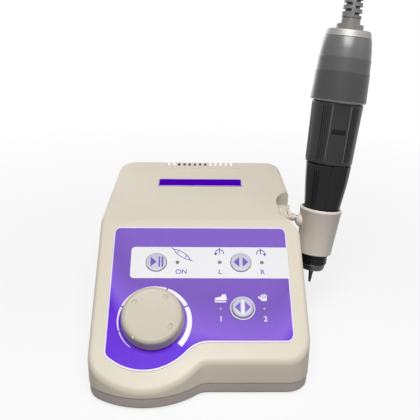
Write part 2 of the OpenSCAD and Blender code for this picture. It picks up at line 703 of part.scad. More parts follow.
// Bracket in the notch: foot on the notch wall, plate on top and arm out to the knuckle
plate_t = 3.4;
plate_x1 = half_w - 3;
foot_t = 4;
knuckle_w = -8;
cup_mouth_r = grip_r(0) + cup_gap + cup_wall;
knuckle_end = cup_mouth_r + 2.4;
arm_d = 5;
arm_end = knuckle_end + run_gap + 0.1;
arm_len = 7.5;
bracket_y0 = notch_y0 + 0.4;
bracket_y1 = notch_y1 - 0.4;
module bracket_block(x1, z0, z1) translate([notch_x + seat_gap, bracket_y0, z0])
    cube([x1 - notch_x - seat_gap, bracket_y1 - bracket_y0, z1 - z0]);
module on_knuckle() in_cup(knuckle_w) rotate([0, -90, 0]) children();
module holder_bracket() color(beige) stand() difference() {
    union() {
        bracket_block(plate_x1, plate_z - plate_t, plate_z);
        bracket_block(notch_x + seat_gap + foot_t, notch_floor_z + 1.5, plate_z - plate_t + 0.5);
        for (y = [bracket_y0, (bracket_y0 + bracket_y1) / 2 - 0.7, bracket_y1 - 1.4])
            translate([notch_x + seat_gap, y, plate_z - plate_t - 5])
            rotate([-90, 0, 0]) linear_extrude(1.4)
                polygon([[0, 0], [foot_t, 0], [plate_x1 - notch_x - seat_gap, -5.2], [0, -5.2]]);
        on_knuckle() translate([0, 0, arm_end]) cylinder(d = arm_d, h = arm_len);
    }
    for (p = bracket_screw_at) translate([notch_x - over, p[0], p[1]]) along_x()
        cylinder(d = post_bore, h = 2 * foot_t);
    on_knuckle() translate([0, 0, arm_end - over])
        cylinder(d = pivot_d + 2 * seat_gap, h = arm_len + over - 1);
}
module bracket_screws() color(silver) stand() for (p = bracket_screw_at)
    translate([notch_x + seat_gap + foot_t + 0.05, p[0], p[1]]) rotate([0, -90, 0])
    screw(foot_t + boss_reach - 1);
pin_in = 1.2;
module holder_pin() color(silver) stand() on_knuckle() translate([0, 0, cup_mouth_r + pin_in - 2.6])
    cylinder(d = pivot_d, h = arm_end + arm_len - 1.4 - cup_mouth_r - pin_in + 2.6);

// Front grip: a cone in the cup that swells a little above it
function grip_r(w) = grip_d0 / 2 + (grip_d1 - grip_d0) / 2 * (w + cup_len) / (grip_top + cup_len);
cup_low_r = grip_d0 / 2 + 0.9;
module holder_cup() color(shade_beige) stand() in_cup() difference() {
    union() {
        turned([[0, -cup_len], [cup_low_r + cup_wall, -cup_len], [cup_mouth_r, 0], [0, 0]]);
        translate([0, 0, knuckle_w]) rotate([0, -90, 0]) {
            translate([0, 0, cup_mouth_r - 3]) cylinder(d = knuckle_d, h = knuckle_end - cup_mouth_r + 3);
        }
    }
    turned([[0, -cup_len - over], [cup_low_r, -cup_len - over], [cup_low_r, -cup_len],
        [grip_r(0) + cup_gap, 0], [grip_r(0) + cup_gap, over], [0, over]]);
    translate([0, 0, knuckle_w]) rotate([0, -90, 0]) translate([0, 0, cup_mouth_r + pin_in - 2.7])
        cylinder(d = pivot_d + 2 * shaft_gap, h = tall);
}

// Handpiece, lengths w along its axis from the cup's rim
nose_len = 10.8;
nose_ring_len = 6.5;
nose_w = -cup_len - nose_len;
nose_ring_w = -cup_len - nose_ring_len;
nose_d0 = 14.4;
nose_d1 = 16.4;
nose_edge = 0.5;
spigot_len = 10;
nose_ring_d = 17.4;
ring_groove = 0.4;
ring_band = 1.2;
ring_gap = 0.2;
part_gap = 0.5;
tail_len = 4.2;
cap_flange_t = 3.4;
collar_len = 3.4;
spigot_d = 12;
grip_bore_d = 16;
spindle_tube_w0 = spigot_len + 1 - cup_len;
spindle_tube_w1 = grip_top - 2;
bearing_w = 4;
twist_w0 = grip_top + part_gap;
twist_w1 = twist_w0 + twist_len;
sleeve_w0 = twist_w1 + part_gap;
sleeve_w1 = sleeve_w0 + sleeve_len;
tail_w1 = sleeve_w1 + tail_len;
flange_w1 = tail_w1 + cap_flange_t;
collar_w1 = flange_w1 + collar_len;
boot_w1 = collar_w1 + boot_len;
collet_bore_d = 9;
module nose_piece() color(dark_grey) stand() in_cup()
    turned([[collet_bore_d / 2, nose_w], [nose_d0 / 2, nose_w], [nose_d0 / 2 + nose_edge, nose_w + nose_edge],
    [nose_d1 / 2, nose_ring_w - ring_gap], [spigot_d / 2, nose_ring_w - ring_gap],
    [spigot_d / 2, spigot_len - cup_len], [collet_bore_d / 2, spigot_len - cup_len]]);

// Profile of one raised band of the nose ring, starting at w
function band_at(w) = let (r = nose_ring_d / 2) [[r - ring_groove, w], [r, w + ring_groove],
    [r, w + ring_groove + ring_band], [r - ring_groove, w + 2 * ring_groove + ring_band]];
module nose_ring() color(black) stand() in_cup()
    turned(concat([[spigot_d / 2 + seat_gap, nose_ring_w]], band_at(nose_ring_w),
    band_at(nose_ring_w + 2 * ring_groove + 2 * ring_band),
    [[nose_ring_d / 2 - ring_groove, -cup_len - ring_gap],
    [spigot_d / 2 + seat_gap, -cup_len - ring_gap]]));

groove_count = 12;
groove_w = 0.9;
groove_d = 0.5;
groove_end = 4;
grip_swell = 0.5;
module front_grip() color(black) stand() in_cup() difference() {
    turned([[spigot_d / 2 + seat_gap, -cup_len], [grip_d0 / 2, -cup_len], [grip_r(0), 0],
        [grip_r(grip_top / 2) + grip_swell, grip_top / 2], [grip_d1 / 2, grip_top],
        [grip_bore_d / 2 + seat_gap, grip_top],
        [grip_bore_d / 2 + seat_gap, spindle_tube_w0 - seat_gap],
            [spigot_d / 2 + seat_gap, spindle_tube_w0 - seat_gap]]);
    for (k = [0:groove_count - 1]) rotate([0, 0, (k + 0.5) * 360 / groove_count])
        rotate([0, atan((grip_d1 - grip_d0) / 2 / (grip_top + cup_len)), 0])
        translate([grip_r(0) - groove_d, -groove_w / 2, groove_end])
        cube([grip_d0, groove_w, grip_top - 2 * groove_end]);
}

flat_w = 9;
flat_d = 0.9;
flat_slot = [6.8, 1.6];
flat_slot_d = 0.5;
flat_slot_up = 19.2;
flat_a = -77;
module twist_ring() color(black) stand() in_cup() difference() {
    turned([[motor_d / 2 + run_gap, twist_w0], [grip_d1 / 2 + 0.1, twist_w0], [twist_d1 / 2, twist_w1],
        [motor_d / 2 + run_gap, twist_w1]]);
    for (k = [0:groove_count - 1]) rotate([0, 0, flat_a + (k + 0.5) * 360 / groove_count])
        translate([grip_d1 / 2 - groove_d / 2, -groove_w / 2, twist_w0 + groove_end])
        cube([grip_d1, groove_w, twist_len - 2 * groove_end]);
    for (a = [0, 180]) rotate([0, 0, flat_a + a]) {
        translate([twist_d1 / 2 - flat_d, -flat_w / 2, twist_w0 - over])
            cube([twist_d1, flat_w, twist_len + 2 * over]);
        translate([twist_d1 / 2 - flat_d - flat_slot_d, -flat_slot[0] / 2, twist_w0 + flat_slot_up])
            cube([twist_d1, flat_slot[0], flat_slot[1]]);
    }
}

// Rear sleeve in three bands, each a step in from the one below
lip = [0.4, 1];
band_len = [17.6, 8];
band_step = 0.3;
cap_seat_t = 2.6;
cap_seat_len = 5;
module rear_sleeve() color(mid_grey) stand() in_cup()
    turned([[motor_d / 2 + seat_gap, sleeve_w0], [sleeve_d0 / 2 - lip[0], sleeve_w0],
    [sleeve_d0 / 2, sleeve_w0 + lip[1]], [sleeve_d0 / 2 - 2 * band_step, sleeve_w0 + band_len[0]],
    [sleeve_d0 / 2 - 3 * band_step, sleeve_w0 + band_len[0] + band_step],
    [sleeve_d0 / 2 - 4 * band_step, sleeve_w0 + band_len[0] + band_len[1]], [sleeve_d1 / 2, sleeve_w1],
    [sleeve_d1 / 2 - cap_seat_t, sleeve_w1], [sleeve_d1 / 2 - cap_seat_t, sleeve_w1 - cap_seat_len],
    [motor_d / 2 + seat_gap, sleeve_w1 - cap_seat_len - 1]]);
cap_spigot_d = sleeve_d1 - 2 * cap_seat_t - 2 * seat_gap;
cap_neck_d = 10.6;
cap_flange_d = 16;
collar_d = 11.2;
tail_edge = 0.5;
module tail_ring() color(silver) stand() in_cup()
    turned([[cap_neck_d / 2 + seat_gap, sleeve_w1 + head_gap],
    [sleeve_d1 / 2 - tail_edge / 2, sleeve_w1 + head_gap],
    [sleeve_d1 / 2 - tail_edge, sleeve_w1 + tail_len / 3],
    [sleeve_d1 / 2 - 2 * tail_edge, tail_w1 - tail_edge], [sleeve_d1 / 2 - 3 * tail_edge, tail_w1],
    [cap_neck_d / 2 + seat_gap, tail_w1]]);
module end_cap() color(mid_grey) stand() in_cup()
    turned([[0, sleeve_w1 - cap_seat_len + tail_edge],
    [cap_spigot_d / 2, sleeve_w1 - cap_seat_len + tail_edge],
    [cap_spigot_d / 2, sleeve_w1 - head_gap], [cap_neck_d / 2, sleeve_w1 - head_gap],
    [cap_neck_d / 2, tail_w1 + head_gap], [cap_flange_d / 2, tail_w1 + head_gap],
    [cap_flange_d / 2, flange_w1 - tail_edge], [cap_flange_d / 2 - tail_edge, flange_w1],
    [collar_d / 2, flange_w1], [collar_d / 2, collar_w1], [0, collar_w1]]);

boot_tip_d = 8;
slot_rows = 7;
slot_pitch = 4.6;
slot_w = 2;
slot_w0 = 3.4;
slot_core = 1.4;
boot_root = 4;
boot_edge = 0.6;
module cord_boot() color(mid_grey) stand() in_cup() difference() {
    turned([[0, collar_w1 + head_gap], [boot_d / 2, collar_w1 + head_gap],
        [boot_d / 2, collar_w1 + boot_root],
        [boot_tip_d / 2, boot_w1 - boot_edge], [boot_tip_d / 2 - boot_edge, boot_w1], [0, boot_w1]]);
    for (k = [0:slot_rows - 1]) rotate([0, 0, 90 * (k % 2)]) for (x = [0, 180]) rotate([0, 0, x])
        translate([cord_d / 2 + slot_core / 2, -boot_d, collar_w1 + slot_w0 + k * slot_pitch])
            cube([boot_d, 2 * boot_d, slot_w]);
}

// Spindle with its tube, bearings, collet and bit
spindle_head_d = 8.2;
spindle_head_w = spigot_len - 2 - cup_len;
spindle_nose_w = nose_w + 2.5;
coupling_d = 9;
coupling_len = 3.5;
bit_in = 3;
front_bearing_w = spindle_tube_w0 + 2;
rear_bearing_w = spindle_tube_w1 - 6;
coupling_w = grip_top + 1;
module spindle_tube() color(silver) stand() in_cup()
    tube(grip_bore_d / 2, bearing_d / 2 + seat_gap / 2, spindle_tube_w0, spindle_tube_w1);
race_t = 1;
shield_in = 0.4;
module bearing(w) in_cup() {
    r0 = spindle_d / 2 + shaft_gap;
    r1 = bearing_d / 2;
    w1 = w + bearing_w;
    turned([[r0, w], [r0 + race_t, w], [r0 + race_t, w + shield_in], [r1 - race_t, w + shield_in],
        [r1 - race_t, w], [r1, w], [r1, w1], [r1 - race_t, w1], [r1 - race_t, w1 - shield_in],
        [r0 + race_t, w1 - shield_in], [r0 + race_t, w1], [r0, w1]]);
}
module front_bearing() color(silver) stand() bearing(front_bearing_w);
module rear_bearing() color(silver) stand() bearing(rear_bearing_w);
collet_d = 6;
collet_rim = [7.2, 1.3];
collet_slit = [0.5, 9];
collet_w0 = nose_w + 1;
collet_w1 = spindle_head_w - 2;
module spindle() color(silver) stand() in_cup() difference() {
    union() {
        translate([0, 0, spindle_nose_w])
            cylinder(d = spindle_head_d, h = spindle_head_w - spindle_nose_w);
        translate([0, 0, spindle_head_w - over])
            cylinder(d = spindle_d, h = coupling_w - spindle_head_w + over);
        translate([0, 0, coupling_w - coupling_len - part_gap]) cylinder(d = coupling_d, h = coupling_len);
    }
    translate([0, 0, nose_w]) cylinder(d = collet_d + 2 * seat_gap, h = collet_w1 - nose_w);
    translate([0, 0, collet_w1 - over]) cylinder(d = bit_d + 2 * seat_gap, h = over + bit_in + 2 * bore_end);
}
module collet() color(brass) stand() in_cup() difference() {
    union() {
        translate([0, 0, collet_w0]) cylinder(d = collet_d, h = collet_w1 - collet_w0 - seat_gap);
        translate([0, 0, collet_w0]) cylinder(d = collet_rim[0], h = collet_rim[1]);
    }
    translate([0, 0, collet_w0 - over]) cylinder(d = bit_d + 2 * shaft_gap, h = tall);
    for (a = [0, 60, 120]) rotate([0, 0, a]) translate([-collet_d, -collet_slit[0] / 2, collet_w0 - over])
        cube([2 * collet_d, collet_slit[0], collet_slit[1]]);
}
bit_tip_d = 1.5;
bit_head_d = 3.2;
bit_edge = 0.4;
module drill_bit() color(dark_grey) stand() in_cup()
    turned([[0, nose_w - bit_reach], [bit_tip_d / 2 - bit_edge, nose_w - bit_reach],
    [bit_tip_d / 2, nose_w - bit_reach + bit_edge], [bit_head_d / 2, nose_w - 2 * bit_edge],
    [bit_head_d / 2, nose_w - bit_edge], [bit_d / 2, nose_w], [bit_d / 2, collet_w1 + bit_in],
    [0, collet_w1 + bit_in]]);

// Motor behind the spindle
motor_in = 1.2;
motor_w0 = twist_w0 + motor_in;
motor_w1 = sleeve_w1 - cap_seat_len - 2;
can_t = 1;
plate_bore_d = 12.8;
plate_edge = 3;
can_bore_d = 10.8;
rear_bush_d = 4.4;
module motor_plate() color(mid_grey) stand() in_cup()
    turned([[plate_bore_d / 2, spindle_tube_w1 + seat_gap], [grip_bore_d / 2, spindle_tube_w1 + seat_gap],
    [grip_bore_d / 2, grip_top + seat_gap], [grip_d1 / 2 - plate_edge, grip_top + seat_gap],
    [motor_d / 2 - 2 * seat_gap, motor_w0 - head_gap], [plate_bore_d / 2, motor_w0 - head_gap]]);
module motor_can() color(silver) stand() in_cup()
    turned([[can_bore_d / 2, motor_w0], [motor_d / 2, motor_w0], [motor_d / 2, motor_w1],
    [rear_bush_d / 2, motor_w1], [rear_bush_d / 2, motor_w1 - can_t],
    [motor_d / 2 - can_t, motor_w1 - can_t], [motor_d / 2 - can_t, motor_w0 + can_t],
    [can_bore_d / 2, motor_w0 + can_t]]);
magnet_t = 3;
magnet_in = [10, 14];
magnet_split = 6;
module motor_magnets() color(dark_grey) stand() in_cup() difference() {
    tube(motor_d / 2 - can_t - seat_gap, motor_d / 2 - can_t - magnet_t,
        motor_w0 + magnet_in[0], motor_w1 - magnet_in[1]);
    translate([-motor_d, -magnet_split / 2, 0]) cube([2 * motor_d, magnet_split, tall]);
}
air_gap = 0.5;
rotor_d = motor_d - 2 * can_t - 2 * magnet_t - 2 * air_gap;
rotor_in = [12, 16];
commutator = [7, 8];
motor_shaft_d = rear_bush_d - 4 * shaft_gap;
shaft_out = 1.6;
module motor_rotor() color(copper) stand() in_cup() union() {
    translate([0, 0, motor_w0 + rotor_in[0]])
        cylinder(d = rotor_d, h = motor_w1 - rotor_in[1] - motor_w0 - rotor_in[0]);
    translate([0, 0, motor_w1 - magnet_in[1]]) cylinder(d = commutator[0], h = commutator[1]);
    translate([0, 0, coupling_w + seat_gap])
        cylinder(d = motor_shaft_d, h = motor_w1 + shaft_out - coupling_w - seat_gap);
}

// Cord: out of the boot, over in an arch, down to the table, into a coil behind the box and on to its plug
cord_r = cord_d / 2;
function turn_x(v, a) = [v[0], v[1] * cos(a) - v[2] * sin(a), v[1] * sin(a) + v[2] * cos(a)];
function turn_y(v, a) = [v[0] * cos(a) + v[2] * sin(a), v[1], v[2] * cos(a) - v[0] * sin(a)];
cup_axis = turn_y(turn_x([0, 0, 1], -lean_back), lean_out);
boot_end = cup_pos + boot_w1 * cup_axis;
cord_straight = 10;
arch_rest = [[96, 50, 253], [99, 62, 262], [102, 76, 260], [104, 88, 247], [105, 94, 228]];
drop_rest = [[104, 96, 184], [101, 96, 150], [98, 96, 110], [95, 96, 75], [93, 96, 45], [91, 97, 25],
    [84, 97, 10], [72, 97, 3.2], [60, 97, 3], [48, 97, 5]];
lead_rest = [[-18, 92, 17], [-8, 92, 15.2], [4, 93, 9.6], [14, 95, 4.6], [22, 97, 3]];
coil_c = [32, 125];
coil_z = 3;
coil_in = 2.25;
coil_turns = 2 * coil_in + 0.5;
coil_steps = 24;
coil_end = 4;
plug_len = 12;
plug_x1 = socket_at[0] + plug_len;
plug_y = rear_y + 9;

function coil_at(u) =
    let (k = (u - coil_in) / 0.5, mid = max(0, min(1, k)), r_in = coil_r - coil_pitch * coil_in)
    let (r = u < coil_in ? coil_r - coil_pitch * u : u > coil_in + 0.5 ? r_in + coil_pitch
        * (u - coil_in - 0.5) : r_in - coil_pitch * (0.25 - abs(u - coil_in - 0.25)))
    let (p = coil_c + r * dir(360 * u - 90))
    [p[0], p[1], coil_z + coil_pitch * (1 - cos(180 * mid)) / 2];
coil_path = concat([coil_at(0) - [coil_end, 0, 0]],
    [for (k = [0:coil_turns * coil_steps]) coil_at(k / coil_steps)],
    [coil_at(coil_turns) + [coil_end, 0, 0]]);
// The stretches meet square to each other, with a seam between their end faces
cord_seam = 0.3;
square_end = 2;
arch_end = [105, 96, 206];
arch_dir = unit(drop_rest[0] - arch_rest[len(arch_rest) - 1]);
coil_out = coil_path[len(coil_path) - 1];
arch_path = concat([boot_end + cord_seam * cup_axis], smooth(concat([boot_end + cord_straight * cup_axis],
    arch_rest, [arch_end - square_end * arch_dir])), [arch_end]);
drop_path = concat([arch_end + cord_seam * arch_dir], smooth(concat([arch_end + square_end * arch_dir],
    drop_rest, [coil_out + [square_end, 0, 0]])), [coil_out + [cord_seam, 0, 0]]);
lead_path = concat([[plug_x1 + cord_seam, plug_y, socket_at[1]]], smooth(concat(lead_rest,
    [coil_path[0] - [square_end, 0, 0]])), [coil_path[0] - [cord_seam, 0, 0]]);

// Smooth curve through the points, with a ring about every two and a half diameters
function bend(a, b, c, d, t) = 0.5 * (2 * b + t * (c - a) + t * t * (2 * a - 5 * b + 4 * c - d) + t * t
    * t * (3 * b - a - 3 * c + d));
function smooth(p) = concat([for (i = [0:len(p) - 2])
    let (n = max(1, round(norm(p[i + 1] - p[i]) / (2.5 * cord_d))))
    for (k = [0:n - 1]) bend(i == 0 ? 2 * p[0] - p[1] : p[i - 1], p[i], p[i + 1],
        i == len(p) - 2 ? 2 * p[i + 1] - p[i] : p[i + 2], k / n)], [p[len(p) - 1]]);
function unit(v) = v / norm(v);
function tangent(p, i) = unit(p[min(i + 1, len(p) - 1)] - p[max(i - 1, 0)]);
function square_to(v, t) = unit(v - (v * t) * t);
function sides_of(p, i = 0, v = [0.3, 0.2, 0.1]) = i == len(p) ? [] :
    let (s = square_to(v, tangent(p, i))) concat([s], sides_of(p, i + 1, s));
module sweep(p, r, sides) {
    across = sides_of(p);
    points = [for (i = [0:len(p) - 1]) for (k = [0:sides - 1])
        let (a = 360 * k / sides, t = tangent(p, i))
        p[i] + r * (cos(a) * across[i] + sin(a) * cross(t, across[i]))];
    last = len(p) - 1;
    walls = [for (i = [0:last - 1]) for (k = [0:sides - 1])
        let (a = i * sides + k, b = i * sides + (k + 1) % sides)
        each [[a, a + sides, b], [b, a + sides, b + sides]]];
    ends = [for (k = [1:sides - 2]) each [[0, k, k + 1],
        [last * sides, last * sides + k + 1, last * sides + k]]];
    polyhedron(points, concat(walls, ends));
}
function path_len(p) = [for (i = [1:len(p) - 1]) norm(p[i] - p[i - 1])] * [for (i = [1:len(p) - 1]) 1];
coil_gap = min([for (i = [0:len(coil_path) - 1])
    for (j = [i + coil_steps / 2:1:len(coil_path) - 1]) norm(coil_path[i] - coil_path[j])]) - cord_d;
echo(coil_gap = coil_gap, cord_length = path_len(arch_path) + path_len(drop_path) + path_len(coil_path)
    + path_len(lead_path));

module cord_arch() color(dark_grey) stand() sweep(arch_path, cord_r, 8);
module cord_drop() color(dark_grey) stand() sweep(drop_path, cord_r, 8);
module cord_coil() color(dark_grey) stand() sweep(coil_path, cord_r, 6);
module cord_lead() color(dark_grey) stand() sweep(lead_path, cord_r, 8);

// Strap round the coil's turns at the side away from the box
tie_w = 9;
tie_t = 0.6;
tie_gap = 0.3;
tie_turn_r = coil_r - coil_pitch * (coil_in + 0.25);
tie_in = sqrt(tie_turn_r * tie_turn_r - tie_w * tie_w / 4) - cord_r - tie_gap;
tie_out = coil_r + cord_r + tie_gap;
tie_top = coil_z + coil_pitch + cord_r + tie_gap;
tie_low = coil_z - cord_r - tie_gap;
module cord_tie() color(black) stand() translate([coil_c[0] - tie_w / 2, coil_c[1], 0]) difference() {
    translate([0, tie_in - tie_t, tie_low - tie_t])
        cube([tie_w, tie_out - tie_in + 2 * tie_t, tie_top - tie_low + 2 * tie_t]);
    translate([-over, tie_in, tie_low]) cube([tie_w + 2 * over, tie_out - tie_in, tie_top - tie_low]);
}

// Right-angle plug in the socket, its cord leaving along the rear wall
plug_in = 7;
plug_head = [13, 13];
plug_neck = [7.6, 10];
plug_tip_d = 6;
module cord_plug() color(dark_grey) stand() translate([socket_at[0], 0, socket_at[1]]) union() {
    translate([0, rear_y - plug_in, 0]) along_y()
        cylinder(d = socket_bore_d - 2 * seat_gap, h = plug_in + plug_y - rear_y);
    translate([0, rear_y + socket_rim[1] + 2 * seat_gap, 0]) along_y()
        cylinder(d = plug_head[0], h = plug_head[1]);
    translate([0, plug_y, 0]) along_x() cylinder(d = plug_neck[0], h = plug_neck[1]);
    translate([0, plug_y, 0]) along_x() cylinder(d = plug_tip_d, h = plug_x1 - socket_at[0]);
}

upper_housing();
base_cover();
base_screws();
rubber_feet();
panel_overlay();
top_label();
speed_knob();
knob_shaft();
potentiometer();
potentiometer_nut();
run_button();
direction_button();
mode_button();
push_switches();
indicator_lights();
control_board();
control_board_screws();
transformer_core();
transformer_winding();
transformer_screws();
power_board();
power_board_screws();
filter_capacitor();
heat_sink();
power_switch();
power_rocker();
rocker_pin();
mains_inlet();
inlet_pins();
handpiece_socket();
pedal_jack();
holder_bracket();
bracket_screws();
holder_pin();
holder_cup();
nose_piece();
nose_ring();
front_grip();
twist_ring();
rear_sleeve();
tail_ring();
end_cap();
cord_boot();
spindle_tube();
front_bearing();
rear_bearing();
spindle();
collet();
drill_bit();
motor_plate();
motor_can();
motor_magnets();
motor_rotor();
cord_arch();
cord_drop();
cord_coil();
cord_lead();
cord_tie();
cord_plug();
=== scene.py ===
"""Looks of a desktop nail drill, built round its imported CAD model.

The mouldings, the printed panel, the controls, the holder, the handpiece and its cord are
modelled with their rounded edges and fine detail, and every node that stays gets a finish.
The frame is the CAD model's: +X right, +Y to the rear and +Z up. Sizes are in millimetres
unless a line says otherwise, and the shaping helpers turn them into the scene's metres.
"""

import json
import logging
import math
from contextlib import contextmanager
from dataclasses import dataclass
from enum import Enum
from typing import Callable, Iterable, Iterator, Sequence

import bpy
from mathutils import Matrix, Vector


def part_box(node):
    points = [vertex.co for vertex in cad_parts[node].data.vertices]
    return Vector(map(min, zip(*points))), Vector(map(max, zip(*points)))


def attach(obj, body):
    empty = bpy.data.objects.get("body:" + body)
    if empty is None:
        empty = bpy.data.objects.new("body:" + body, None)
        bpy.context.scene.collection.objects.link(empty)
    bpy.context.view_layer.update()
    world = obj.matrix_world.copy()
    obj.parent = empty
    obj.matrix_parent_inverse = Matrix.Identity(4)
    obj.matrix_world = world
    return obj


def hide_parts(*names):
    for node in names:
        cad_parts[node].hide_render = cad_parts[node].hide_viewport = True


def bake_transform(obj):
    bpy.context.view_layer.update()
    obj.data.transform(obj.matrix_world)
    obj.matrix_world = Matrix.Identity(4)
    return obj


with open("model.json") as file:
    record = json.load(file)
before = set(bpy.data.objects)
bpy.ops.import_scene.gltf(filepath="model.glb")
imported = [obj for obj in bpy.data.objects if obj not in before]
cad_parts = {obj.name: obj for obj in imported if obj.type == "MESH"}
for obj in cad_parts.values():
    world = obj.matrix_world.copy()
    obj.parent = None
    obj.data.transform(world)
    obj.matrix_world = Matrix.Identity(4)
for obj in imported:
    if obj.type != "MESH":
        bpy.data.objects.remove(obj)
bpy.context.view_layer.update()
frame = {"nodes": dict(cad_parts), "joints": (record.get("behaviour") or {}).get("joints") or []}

LOG = logging.getLogger("nail_drill")
MM = 0.001
WELD = 1e-6
Obj = bpy.types.Object
Socket = bpy.types.NodeSocket
Point = tuple[float, float]
Spot = tuple[float, float, float]
Shape = Sequence[Point]
Colour = tuple[float, float, float]


class Body(Enum):
    """The moving bodies of the CAD model."""

    BOX = "control_box"
    SPEED = "speed_control"
    RUN = "run_key"
    DIRECTION = "direction_key"
    MODE = "mode_key"
    ROCKER = "rocker"
    HOLDER = "holder"
    HANDPIECE = "handpiece"
    CHUCK = "chuck_ring"
    ROTATING = "rotating_group"


# Outlines in the plane, and moves


def arc(centre: Point, radius: float, start: float, stop: float, steps: int) -> list[Point]:
    """Points on a circular arc.

    Args:
        centre: Centre of the arc.
        radius: Radius of the arc.
        start: First angle, in degrees.
        stop: Last angle, in degrees.
        steps: Number of chords.

    Returns:
        steps + 1 points from start to stop.
    """
    angles = [math.radians(start + (stop - start) * k / steps) for k in range(steps + 1)]
    return [(centre[0] + radius * math.cos(a), centre[1] + radius * math.sin(a)) for a in angles]


def rounded_box(low: Point, high: Point, radius: float, steps: int = 6) -> list[Point]:
    """Outline of a rectangle with rounded corners.

    Args:
        low: Its lowest corner.
        high: Its highest corner.
        radius: Radius of its corners.
        steps: Number of chords in each of them.

    Returns:
        The outline, anticlockwise.
    """
    x0, y0, x1, y1 = low[0] + radius, low[1] + radius, high[0] - radius, high[1] - radius
    return [p for k, corner in enumerate(((x1, y1), (x0, y1), (x0, y0), (x1, y0)))
            for p in arc(corner, radius, 90 * k, 90 * k + 90, steps)]


def stroke(line: Shape, width: float) -> list[Point]:
    """Outline of a drawn line with square ends.

    Args:
        line: Points of the line.
        width: Width of the line.

    Returns:
        The outline, down one side of the line and back along the other.
    """
    left, right = [], []
    for i, (x, y) in enumerate(line):
        x0, y0 = line[max(i - 1, 0)]
        x1, y1 = line[min(i + 1, len(line) - 1)]
        size = math.hypot(x1 - x0, y1 - y0)
        nx, ny = (y0 - y1) / size * width / 2, (x1 - x0) / size * width / 2
        left.append((x + nx, y + ny))
        right.append((x - nx, y - ny))
    return left + right[::-1]


def shift(x: float, y: float, z: float) -> Matrix:
    """A move, in millimetres."""
    return Matrix.Translation((x * MM, y * MM, z * MM))


def turn(degrees: float, axis: str) -> Matrix:
    """A turn about one of the axes."""
    return Matrix.Rotation(math.radians(degrees), 4, axis)


# Modelling by hand


def pick(obj: Obj) -> None:
    """Selects one object alone and makes it active.

    Args:
        obj: The object.
    """
    bpy.ops.object.select_all(action="DESELECT")
    obj.select_set(True)
    bpy.context.view_layer.objects.active = obj


@contextmanager
def editing(obj: Obj, whole: bool = True) -> Iterator[None]:
    """Edit mode on one object.

    Args:
        obj: Object to edit.
        whole: Whether all of it is selected, or only the edges that were chosen before.

    Yields:
        Nothing; edit mode is left at the end.
    """
    pick(obj)
    bpy.context.tool_settings.mesh_select_mode = (whole, not whole, False)
    bpy.ops.object.mode_set(mode="EDIT")
    try:
        if whole:
            bpy.ops.mesh.select_all(action="SELECT")
        yield
    finally:
        bpy.ops.object.mode_set(mode="OBJECT")


def named(obj: Obj, name: str) -> Obj:
    """Gives an object and its mesh a name."""
    obj.name = obj.data.name = name
    return obj


def fresh(name: str, add: Callable, **options: object) -> Obj:
    """A new object, alone in the selection.

    Args:
        name: Its name.
        add: Blender's operator that adds it.
        options: What the operator is told.

    Returns:
        The new object.
    """
    bpy.ops.object.select_all(action="DESELECT")
    add(**options)
    return named(bpy.context.active_object, name)


def slab(name: str, points: Shape, low: float, high: float) -> Obj:
    """A plate with a given outline, extruded from low to high.

    Args:
        name: Name of the new object.
        points: The outline.
        low: Height of the lower face.
        high: Height of the upper face.

    Returns:
        The new object.
    """
    obj = fresh(name, bpy.ops.mesh.primitive_circle_add, vertices=len(points), radius=MM, fill_type="NGON")
    for vertex, (x, y) in zip(obj.data.vertices, points):
        vertex.co = (x * MM, y * MM, low * MM)
    with editing(obj):
        bpy.ops.mesh.extrude_region_move(TRANSFORM_OT_translate={"value": (0, 0, (high - low) * MM)})
        bpy.ops.mesh.select_all(action="SELECT")
        bpy.ops.mesh.normals_make_consistent(inside=False)
    return obj


def lathe(name: str, profile: Shape, steps: int = 96) -> Obj:
    """A turned body: a closed profile spun about the Z axis.

    Args:
        name: Name of the new object.
        profile: Radius and height of each point, in order round the section.
        steps: Number of chords in the turn.

    Returns:
        The new object.
    """
    obj = fresh(name, bpy.ops.mesh.primitive_circle_add, vertices=len(profile), radius=MM, fill_type="NOTHING")
    for vertex, (radius, height) in zip(obj.data.vertices, profile):
        vertex.co = (radius * MM, 0, height * MM)
    with editing(obj):
        bpy.ops.mesh.spin(steps=steps, angle=math.tau, center=(0, 0, 0), axis=(0, 0, 1))
        bpy.ops.mesh.select_all(action="SELECT")
        bpy.ops.mesh.remove_doubles(threshold=WELD)
        bpy.ops.mesh.delete_loose()
        bpy.ops.mesh.select_all(action="SELECT")
        bpy.ops.mesh.normals_make_consistent(inside=False)
    return obj


def block(name: str, low: Sequence[float], high: Sequence[float]) -> Obj:
    """A box used as a blank or a cutter.

    Args:
        name: Name of the new object.
        low: Its lowest corner.
        high: Its highest corner.

    Returns:
        The new object.
    """
    low, high = (Vector([size * MM for size in corner]) for corner in (low, high))
    obj = fresh(name, bpy.ops.mesh.primitive_cube_add, size=1, location=(low + high) / 2, scale=high - low)
    bpy.ops.object.transform_apply(location=True, rotation=True, scale=True)
    return obj


def rod(name: str, radius: float, low: float, high: float, steps: int = 40) -> Obj:
    """A round bar along Z, used as a blank or a cutter."""
    return slab(name, arc((0, 0), radius, 0, 360, steps)[:-1], low, high)


def plate(name: str, half: Point, radius: float, low: float, high: float) -> Obj:
    """A plate with rounded corners round the Z axis, from half its size each way."""
    return slab(name, rounded_box((-half[0], -half[1]), half, radius), low, high)


def place(obj: Obj, matrix: Matrix) -> Obj:
    """Moves an object and puts the move into its mesh.

    Args:
        obj: Object to move.
        matrix: The move.

    Returns:
        The same object.
    """
    obj.data.transform(matrix @ obj.matrix_basis)
    obj.matrix_basis = Matrix.Identity(4)
    return obj


